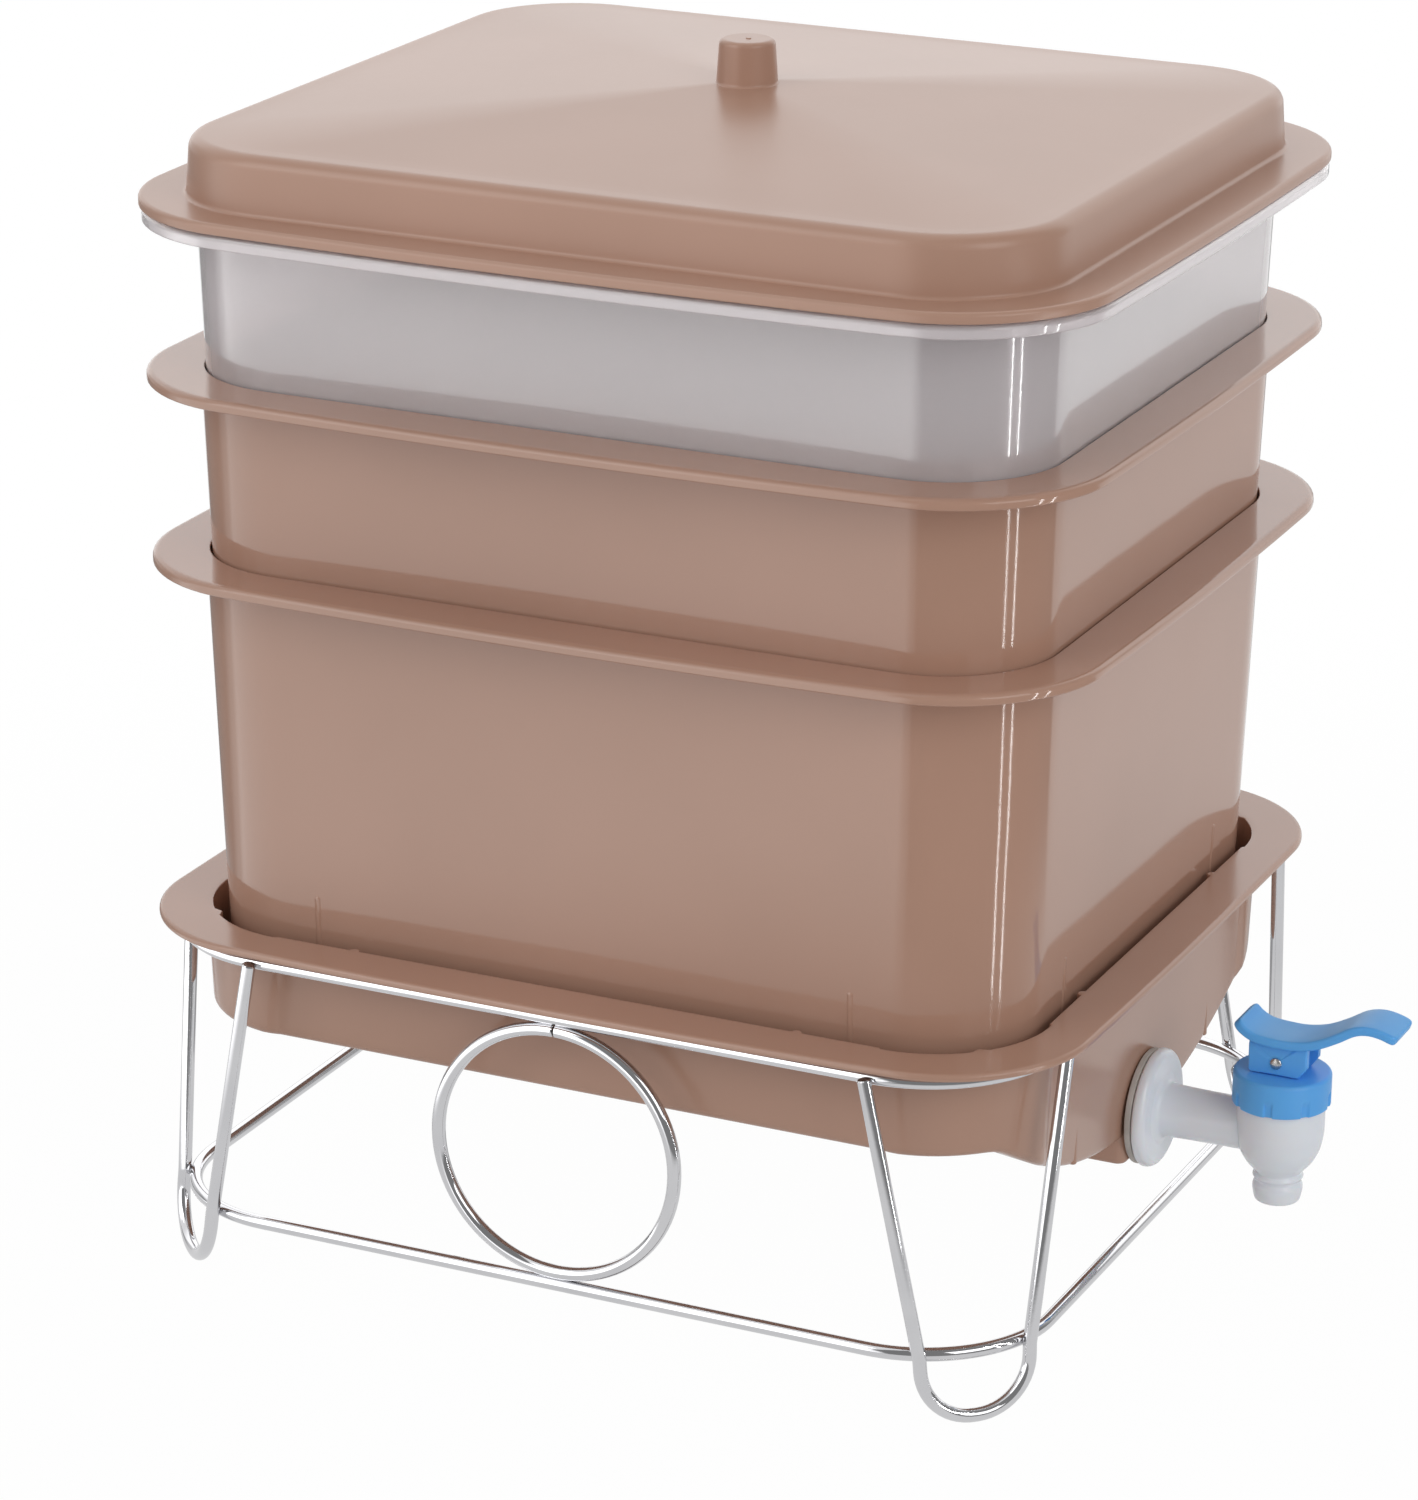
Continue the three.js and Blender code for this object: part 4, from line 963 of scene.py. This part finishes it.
def rubber():
    """Grey-brown moulded rubber: dull, with a fine bloom and a grainy skin."""
    look, shader, place = finish("seal_rubber", {"IOR": 1.5})
    bloom = place.noise(120, 3)
    feed(
        shader,
        BaseColor=bloom.step(0.35, 0.7).mix(colour(206, 202, 196), colour(190, 186, 180)),
        Roughness=0.62 + 0.2 * bloom,
        Normal=(place.noise(1400, 2) * 0.05).bump(0.001),
    )
    return look


def washer(node):
    """A flat ring with round edges between a packed washer's faces."""
    low, high = reach(node)
    hole = stub_radius + washer_gap
    radius = (high[1] - low[1]) / 2
    thickness = high[0] - low[0]
    seam = (hole, thickness / 2)
    profile = rounded(
        [seam, (hole, 0), (radius, 0), (radius, thickness), (hole, thickness), seam],
        [0.3, 0.6, 0.6, 0.3],
    )
    return lathe(profile, (low[0], 0, tap_z), (1, 0, 0), barrel_sides)


def hexagon_nut():
    """Hexagon rings whose corners are broken, round a plain bore."""
    low, high = reach("tap_nut")
    radius = max(high[1] - low[1], high[2] - low[2]) / 2
    across = radius * math.cos(math.pi / nut_sides)
    angle = np.linspace(0, 2 * math.pi, nut_steps, endpoint=False)
    turned = (angle + math.pi / nut_sides) % (2 * math.pi / nut_sides) - math.pi / nut_sides
    hexagon = np.minimum(across / np.cos(turned), radius * 0.985)
    hole = np.full(nut_steps, nut_bore)
    thickness = high[0] - low[0]
    height = np.array([
        0, 0, nut_chamfer_height, thickness - nut_chamfer_height, thickness, thickness, 0,
    ])[:, None] + 0 * angle
    spread = np.stack([hole, hexagon - nut_chamfer, hexagon, hexagon, hexagon - nut_chamfer, hole, hole])
    rings = np.stack([height, spread * np.sin(angle), spread * np.cos(angle)], -1)
    return surface(rings + np.array([low[0], 0, tap_z]))


seal_rubber = rubber()
for name, node in [("washer_outside", "tap_outer_washer"), ("washer_inside", "tap_inner_washer")]:
    piece(name, [washer(node)], seal_rubber, "seal_rubber", "tank", node)
piece("nut", [hexagon_nut()], tap_white, "tap_white", "tank", "tap_nut")

# The valve inside: a white stem whose foot carries a rubber plug, and a steel coil spring that
# pushes the foot down from the collar. The stem's eye takes the lever's pin.
stem_radius = 2.8
foot_thickness = 2
eye_half = (3.4, 4.2)
eye_edge = 0.6
shaft_in_eye = 4
spring_turns = 7
spring_steps = 36
spring_wire = 0.7
spring_flat_turns = 0.8
spring_pitch_share = 2.1


def valve_stem():
    low, high = reach("valve_stem")
    foot = (high[0] - low[0]) / 2
    shaft_top = high[2] - low[2] - shaft_in_eye
    shaft = rounded([
        (0, 0), (foot, 0), (foot, foot_thickness), (stem_radius, foot_thickness),
        (stem_radius, shaft_top), (0, shaft_top),
    ], [0.4, 0.4, 0.5, 0.4])
    eye_low = reach("tap_collar")[1][2] + packed_seat
    eye = block(eye_half, eye_edge, eye_low, high[2], eye_edge, (valve_x, 0))
    return [lathe(shaft, (valve_x, 0, low[2]), sides=40), eye]


def valve_plug():
    low, high = reach("valve_plug")
    radius = (high[0] - low[0]) / 2
    height = high[2] - low[2]
    profile = rounded([(0, 0), (radius, 0), (radius, height), (0, height)], [0.9, 0.5])
    return lathe(profile, (valve_x, 0, low[2]), sides=48)


def coil_spring():
    """Helix with closed ends: p = (r cos a, r sin a, z(a)), where z stays level for one turn at
    each end."""
    low, high = reach("tap_spring")
    radius = (high[0] - low[0]) / 2 - spring_wire
    turn = np.linspace(0, spring_turns, spring_turns * spring_steps)
    flat = spring_flat_turns
    rise = np.clip((turn - flat) / (spring_turns - 2 * flat), 0, 1)
    pitch = spring_wire * spring_pitch_share
    level = pitch * np.minimum(turn, flat) + pitch * np.clip(turn - spring_turns + flat, 0, flat)
    height = low[2] + spring_wire + level + rise * (high[2] - low[2] - 2 * spring_wire - 2 * flat * pitch)
    angle = turn * 2 * math.pi
    path = np.stack([valve_x + radius * np.cos(angle), radius * np.sin(angle), height], -1)
    return tube(path, (0, 0, 1), radius=spring_wire)


def bright_steel():
    """Ground steel: brushed grain round the axis and a soft shine."""
    look, shader, place = finish("spring_steel", {"Metallic": 1.0})
    grain = place.stretched((1, 1, 12)).noise(700, 2)
    feed(
        shader,
        BaseColor=grain.mix(colour(205, 203, 200), colour(182, 180, 178)),
        Roughness=0.2 + 0.15 * grain,
        Normal=(grain * 0.01).bump(0.001),
    )
    return look


spring_steel = bright_steel()
piece("stem", valve_stem(), tap_white, "tap_white", "stem", "valve_stem")
piece("plug", [valve_plug()], seal_rubber, "seal_rubber", "stem", "valve_plug")
spring = piece("spring", [coil_spring()], spring_steel, "spring_steel", "tank", "tap_spring")
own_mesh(spring)

# The blue screw collar closes the chamber. Its edges are round, and eight short grip notches are
# cut into its lower half.
collar_edge = 1.4
grip_count = 8
grip_turn = math.radians(3)
grip_half = 1.5
grip_depth = 0.8
grip_rise = 5.2
grip_low = 1.4
grip_clear = 2
collar_hole = 3.3
collar_top = 3.4
collar_steps = 9
collar_sides = 288


def blue_plastic():
    """Bright blue polypropylene with a satin shine and a faint mottle."""
    fixed = {"IOR": 1.4, "Subsurface Weight": 0.08, "Subsurface Scale": 0.003}
    look, shader, place = finish("tap_blue", fixed)
    cloud = place.noise(70, 3)
    feed(
        shader,
        BaseColor=cloud.mix(colour(106, 189, 255), colour(95, 179, 255)),
        Roughness=0.34 + 0.1 * cloud,
        Normal=(place.noise(1100, 2) * 0.012 + place.noise(110, 1) * 0.06).bump(0.001),
    )
    return look


def screw_collar():
    """A turned cap: radius r(a, h) = r(h) - depth * grip(a) * low(h), where grip is 1 within each
    notch and low is 1 in the lower part of the side."""
    low, high = reach("tap_collar")
    radius = (high[1] - low[1]) / 2
    height = high[2] - low[2]
    room = chamber_radius + 0.2
    under = height - collar_top
    outside = rounded([
        (room, 0), (radius, 0), (radius, height), (collar_hole, height),
        (collar_hole, under), (chamber_bore, under), (chamber_bore, height - chamber_neck),
    ], [0.8, collar_edge, 0.4, 0.4, 0.8], steps=8)
    side_z = np.linspace(grip_low, height - grip_clear, collar_steps)
    side = np.stack([np.full(collar_steps, radius), side_z], -1)
    before = outside[:, 1] < grip_low
    before[np.argmax(outside[:, 1] > grip_low):] = False
    after = np.arange(len(outside)) >= np.argmax(outside[:, 1] > height - grip_clear)
    inside = [(room, height - chamber_neck), (room, 0)]
    profile = np.concatenate([outside[before], side, outside[after], inside])
    points, faces = lathe(profile, (0, 0, 0), sides=collar_sides)
    angle = np.arctan2(points[:, 1], points[:, 0]) - grip_turn
    pitch = 2 * math.pi / grip_count
    away = np.abs((angle + pitch / 2) % pitch - pitch / 2) * radius
    grip = 1 - smooth(away, grip_half - 0.35, grip_half + 0.35)
    foot = 1 - smooth(points[:, 2], grip_rise - 0.5, grip_rise + 0.2)
    spread = np.linalg.norm(points[:, :2], axis=1)
    outer = smooth(spread, radius - 1.6, radius - 1)
    points[:, :2] *= (1 - grip_depth * grip * foot * outer / np.maximum(spread, 1))[:, None]
    return points + np.array([valve_x, 0, low[2]]), faces


tap_blue = blue_plastic()
piece("collar", [screw_collar()], tap_blue, "tap_blue", "tank", "tap_collar")

# The lever: a blue paddle on two cheeks that straddle the stem's eye, pinned by a domed steel pin.
# Each cheek's face has a shallow V that opens upwards from the pin.
lever_half = 10
paddle_half = 1.75
paddle_edge = 1.1
paddle_tip = 3
paddle_end = 4
cheek_outer = 8
cheek_inner = 5
cheek_edge = 0.5
cheek_relief = 0.075
cheek_low = -4.6
cheek_high = 8.8
cheek_front = 11.4
cheek_back = -10.6
cheek_chamfer = (2.8, 4)
relief_from = math.radians(40)
relief_to = math.radians(143)
pin_radius = 1.5
pin_head = 2.2
pin_dome = 0.8
paddle_points = [
    (-14, 15.3), (-11.5, 12.6), (-7.5, 10.6), (-1.5, 9.9), (5.9, 9.9), (13.7, 11.6), (21, 15.2),
    (27.8, 19.3), (33.6, 20.7), (39.4, 20.1), (45, 18.2),
]
pin_low, pin_high = reach("lever_pin")
pin_place = (pin_low + pin_high) / 2


def paddle():
    """A flat bar swept along a curve: p = c(t) + across_j Y + up_j n(t), where c is half the
    thickness under the top line. Its plan corners and all its edges are round."""
    top = curve_through(paddle_points, 7)
    tangent = np.gradient(top, axis=0)
    tangent = tangent / np.linalg.norm(tangent, axis=1, keepdims=True)
    normal = np.stack([-tangent[:, 1], tangent[:, 0]], -1)
    middle = top - paddle_half * normal
    run = np.concatenate([[0], np.cumsum(np.linalg.norm(np.diff(middle, axis=0), axis=1))])
    round_end = paddle_edge * (1 - np.cos(np.linspace(0, math.pi / 2, 6)))
    near_end = np.linspace(paddle_edge, paddle_end, 7)[1:]
    stations = np.concatenate([round_end, near_end, np.linspace(paddle_end, run[-1] / 2, 30)[1:]])
    stations = np.concatenate([stations, run[-1] - stations[-2::-1]])
    c = np.stack([np.interp(stations, run, middle[:, k]) for k in (0, 1)], -1)
    n = np.stack([np.interp(stations, run, normal[:, k]) for k in (0, 1)], -1)
    end = np.minimum(stations, run[-1] - stations)
    near = np.clip(1 - end / paddle_edge, 0, 1)
    inset = paddle_edge * (1 - np.sqrt(1 - near ** 2))
    tip = np.clip(1 - end / paddle_tip, 0, 1)
    cut = paddle_tip * (1 - np.sqrt(1 - tip ** 2)) * 0.6
    u, m = track(np.linspace(-1, 1, 7), np.linspace(-1, 1, 3), 8)
    across = u[:, 0] * (lever_half - paddle_edge - cut[:, None]) + m[:, 0] * (paddle_edge - inset[:, None])
    up = u[:, 1] * (paddle_half - paddle_edge) + m[:, 1] * (paddle_edge - inset[:, None])
    points = np.stack([c[:, :1] + up * n[:, :1], across, c[:, 1:] + up * n[:, 1:]], -1)
    ends = [np.broadcast_to(points[k].mean(0), points[0].shape)[None] for k in (0, -1)]
    return surface(np.concatenate([ends[0], points, ends[1]]) + pin_place)


def cheek(sign):
    """Rings of the cheek's outline shrunk to the pin. The outer face is sunk by relief * distance
    inside the V, so the V's floor slopes from nothing at the pin."""
    corners = [
        (0, cheek_low), (cheek_front - cheek_chamfer[0], cheek_low),
        (cheek_front, cheek_low + cheek_chamfer[1]), (cheek_front, cheek_high),
        (cheek_back, cheek_high), (cheek_back, cheek_low), (0, cheek_low),
    ]
    line = rounded(corners, [0.8, 0.8, 0.2, 0.2, 1.2], steps=4, guard=0.3)
    dense = np.linspace(0, len(line) - 1, 161)[:-1]
    line = np.stack([np.interp(dense, np.arange(len(line)), line[:, k]) for k in (0, 1)], -1)
    distance = np.linalg.norm(line, axis=1)
    bearing = np.arctan2(line[:, 1], line[:, 0])
    sunk = ((bearing > relief_from) & (bearing < relief_to)) * cheek_relief * distance
    rows = []
    for share in np.linspace(0, 1, 9):
        inset = 1 - cheek_edge / distance if share == 1 else share * (1 - cheek_edge / distance)
        flat = line * np.reshape(inset, (-1, 1))
        rows.append(np.stack([flat[:, 0], sign * (cheek_outer - sunk * inset), flat[:, 1]], -1))
    rows.append(np.stack([line[:, 0], sign * (cheek_outer - sunk - cheek_edge), line[:, 1]], -1))
    rows.append(np.stack([line[:, 0], np.full(len(line), sign * cheek_inner), line[:, 1]], -1))
    rows.append(np.stack([0 * line[:, 0], np.full(len(line), sign * cheek_inner), 0 * line[:, 1]], -1))
    return surface(np.stack(rows) + pin_place)


def lever_pin():
    """Pin with a domed head at each end: a turned profile about Y."""
    length = (pin_high[1] - pin_low[1]) / 2
    half = [(pin_radius, 0), (pin_radius, length - pin_dome)]
    angle = np.linspace(0, math.pi / 2, 8)
    dome = np.stack([pin_head * np.cos(angle), length - pin_dome + pin_dome * np.sin(angle)], -1)
    dome[-1, 0] = 0
    upper = np.concatenate([half, dome])
    profile = np.concatenate([upper[::-1] * (1, -1), upper[1:]])
    return lathe(profile, pin_place, (0, 1, 0), 40)


piece("lever", [paddle(), cheek(-1), cheek(1)], tap_blue, "tap_blue", "lever", "tap_lever")
piece("pin", [lever_pin()], spring_steel, "spring_steel", "stem", "lever_pin")

# A white floor under soft lamps. The floor and the world are white to the camera, and the floor
# keeps a faint shadow. What the gloss sees is a studio: bright to the front left, dim beyond the
# near corner, with a broad lamp behind, and painted shade on the floor close to the stand, so that
# the floor there is dimmer in gloss, and dimmer still behind the stand.
floor_size = 6
shadow_near = 0.3
shadow_far = 0.9
painted_shade_near = 0.35
painted_shade_far = 0.6
floor_glow = 0.98
ambient = 0.5
back_lamp = 0.5
back_lamp_way = (-0.39, 0.85, 0.35)
near_way = (0.93, -0.37, 0)
front_way = (-0.62, -0.78, 0)
behind_way = (-0.42, 0.91, 0)
dark_left_way = (-0.97, 0.26, 0)
dark_back_way = (-0.12, 0.99, 0)
front_boost = 1.1
front_blur = 0.07
near_dim = 0.75
near_blur = 0.06
dark_left_dim = 0.75
dark_back_dim = 0.6
sky_front_edge = 0.8
sky_near_edge = 0.07
floor_front_edge = 0.76
floor_near_edge = 0.4


def towards(way, vector, low, high):
    """0 to 1 as the cosine between two unit vectors goes from low to high."""
    cosine = vector.node("ShaderNodeVectorMath", {"operation": "DOT_PRODUCT"}, {0: vector, 1: way}, 1)
    return cosine.step(low, high)


def room(vector, front_edge, near_edge):
    """How bright the studio is in a direction. Two dark gaps lie behind the object."""
    return (
        1 + front_boost * towards(front_way, vector, front_edge, front_edge + front_blur)
        - near_dim * towards(near_way, vector, near_edge, near_edge + near_blur)
        - dark_left_dim * towards(dark_left_way, vector, 0.9, 0.97)
        - dark_back_dim * towards(dark_back_way, vector, 0.985, 0.995)
    )


def rays_seen(tree):
    """Which rays look: 1 for the camera's or for transmitted ones, and 1 for glossy ones."""
    rays = tree.nodes.new("ShaderNodeLightPath")
    camera, through, gloss = (
        Value(tree, rays.outputs[kind]) for kind in ("Is Camera Ray", "Is Transmission Ray", "Is Glossy Ray")
    )
    clear = camera.maths("MAXIMUM", camera, through)
    return clear, gloss * (1 - clear)


def studio_floor():
    corners = np.array([(-1, -1, 0), (1, -1, 0), (1, 1, 0), (-1, 1, 0)]) * floor_size / 2
    mesh = bpy.data.meshes.new("floor")
    mesh.from_pydata(corners.tolist(), [], [(0, 1, 2, 3)])
    floor = bpy.data.objects.new("floor", mesh)
    bpy.context.collection.objects.link(floor)
    look, shader, place = finish("floor_white", {"Base Color": colour(243, 243, 244), "Roughness": 0.9})
    away = place.node("ShaderNodeVectorMath", {"operation": "LENGTH"}, {0: place}, 1)
    way = place.node("ShaderNodeVectorMath", {"operation": "NORMALIZE"}, {0: place})
    clear, glossy = rays_seen(look.node_tree)
    # Painted shade: close to the stand the floor is 0.8 bright in gloss, and down to 0.4 behind it.
    near = 0.8 - 0.4 * towards(behind_way, way, 0.55, 0.9)
    far = room(way, floor_front_edge, floor_near_edge)
    strength = 1 + glossy * (near - 1 + away.step(painted_shade_near, painted_shade_far) * (far - near))
    glow = place.node("ShaderNodeEmission", {}, {"Color": colour(255, 255, 255), "Strength": strength})
    share = clear * (floor_glow + (1 - floor_glow) * away.step(shadow_near, shadow_far)) + glossy
    surface_shader = Value(look.node_tree, shader.outputs[0])
    mixed = share.node("ShaderNodeMixShader", {}, {0: share, 1: surface_shader, 2: glow})
    look.node_tree.links.new(mixed.socket, look.node_tree.nodes["Material Output"].inputs["Surface"])
    mesh.materials.append(look)


def studio_world():
    world = bpy.data.worlds.new("studio")
    world.use_nodes = True
    tree = world.node_tree
    clear, glossy = rays_seen(tree)
    way = Value(tree, tree.nodes.new("ShaderNodeTexCoord").outputs["Generated"])
    gloss = room(way, sky_front_edge, sky_near_edge) + back_lamp * towards(back_lamp_way, way, 0.3, 0.8)
    strength = ambient * (1 - clear - glossy) + clear + glossy * gloss
    tree.nodes["Background"].inputs["Color"].default_value = colour(255, 255, 255)
    tree.links.new(strength.socket, tree.nodes["Background"].inputs["Strength"])
    bpy.context.scene.world = world


def softbox(name, place, target, width, height, watts, lights):
    """A rectangular lamp that faces the point it is aimed at. It can be one that only shows in
    gloss and lights nothing."""
    lamp = bpy.data.lights.new(name, "AREA")
    lamp.shape = "RECTANGLE"
    lamp.size = width
    lamp.size_y = height
    lamp.energy = watts
    made = bpy.data.objects.new(name, lamp)
    bpy.context.collection.objects.link(made)
    back = np.array(place, float) - np.array(target, float)
    back = back / np.linalg.norm(back)
    right = np.cross((0, 0, 1) if abs(back[2]) < 0.99 else (0, 1, 0), back)
    right = right / np.linalg.norm(right)
    up = np.cross(back, right)
    made.matrix_world = Matrix(np.c_[right, up, back, place].tolist() + [[0, 0, 0, 1]])
    made.visible_camera = False
    made.visible_diffuse = lights


studio_floor()
studio_world()
aim = (0, 0, 0.2)
near_corner = (0.11, -0.12, 0.18)
lamps = [
    ("lamp_front_left", (-1.1, -1.6, 1.5), aim, 1.1, 1.3, 7, True),
    ("lamp_right", (1.8, -0.9, 1.2), aim, 1.2, 1.2, 8.5, True),
    ("lamp_strip_a", (0.408, -0.159, 0.18), near_corner, 0.007, 0.34, 0.13, False),
    ("lamp_strip_b", (0.41, -0.107, 0.18), near_corner, 0.007, 0.34, 0.13, False),
]
for lamp in lamps:
    softbox(*lamp)

# The camera stands where the photograph was taken from: a long lens, a little above the lid.
camera_target = np.array([-0.03932, 0, 0.11734])
camera_distance = 1.9836
camera_azimuth = math.radians(24.851)
camera_elevation = math.radians(21.212)
camera_roll = math.radians(0.384)
sensor_width = 36
lens_length = 127.54
lens_shift = (-0.0218, 0.1008)


def photo_camera():
    a, e, r = camera_azimuth, camera_elevation, camera_roll
    back = np.array([math.sin(a) * math.cos(e), -math.cos(a) * math.cos(e), math.sin(e)])
    right = np.array([math.cos(a), math.sin(a), 0])
    up = np.cross(back, right)
    right, up = right * math.cos(r) + up * math.sin(r), up * math.cos(r) - right * math.sin(r)
    lens = bpy.data.cameras.new("camera")
    lens.sensor_width = sensor_width
    lens.lens = lens_length
    lens.shift_x, lens.shift_y = lens_shift
    made = bpy.data.objects.new("camera", lens)
    bpy.context.collection.objects.link(made)
    place = camera_target + camera_distance * back
    made.matrix_world = Matrix(np.c_[right, up, back, place].tolist() + [[0, 0, 0, 1]])
    bpy.context.scene.camera = made


photo_camera()
bpy.context.scene.view_settings.view_transform = "Standard"
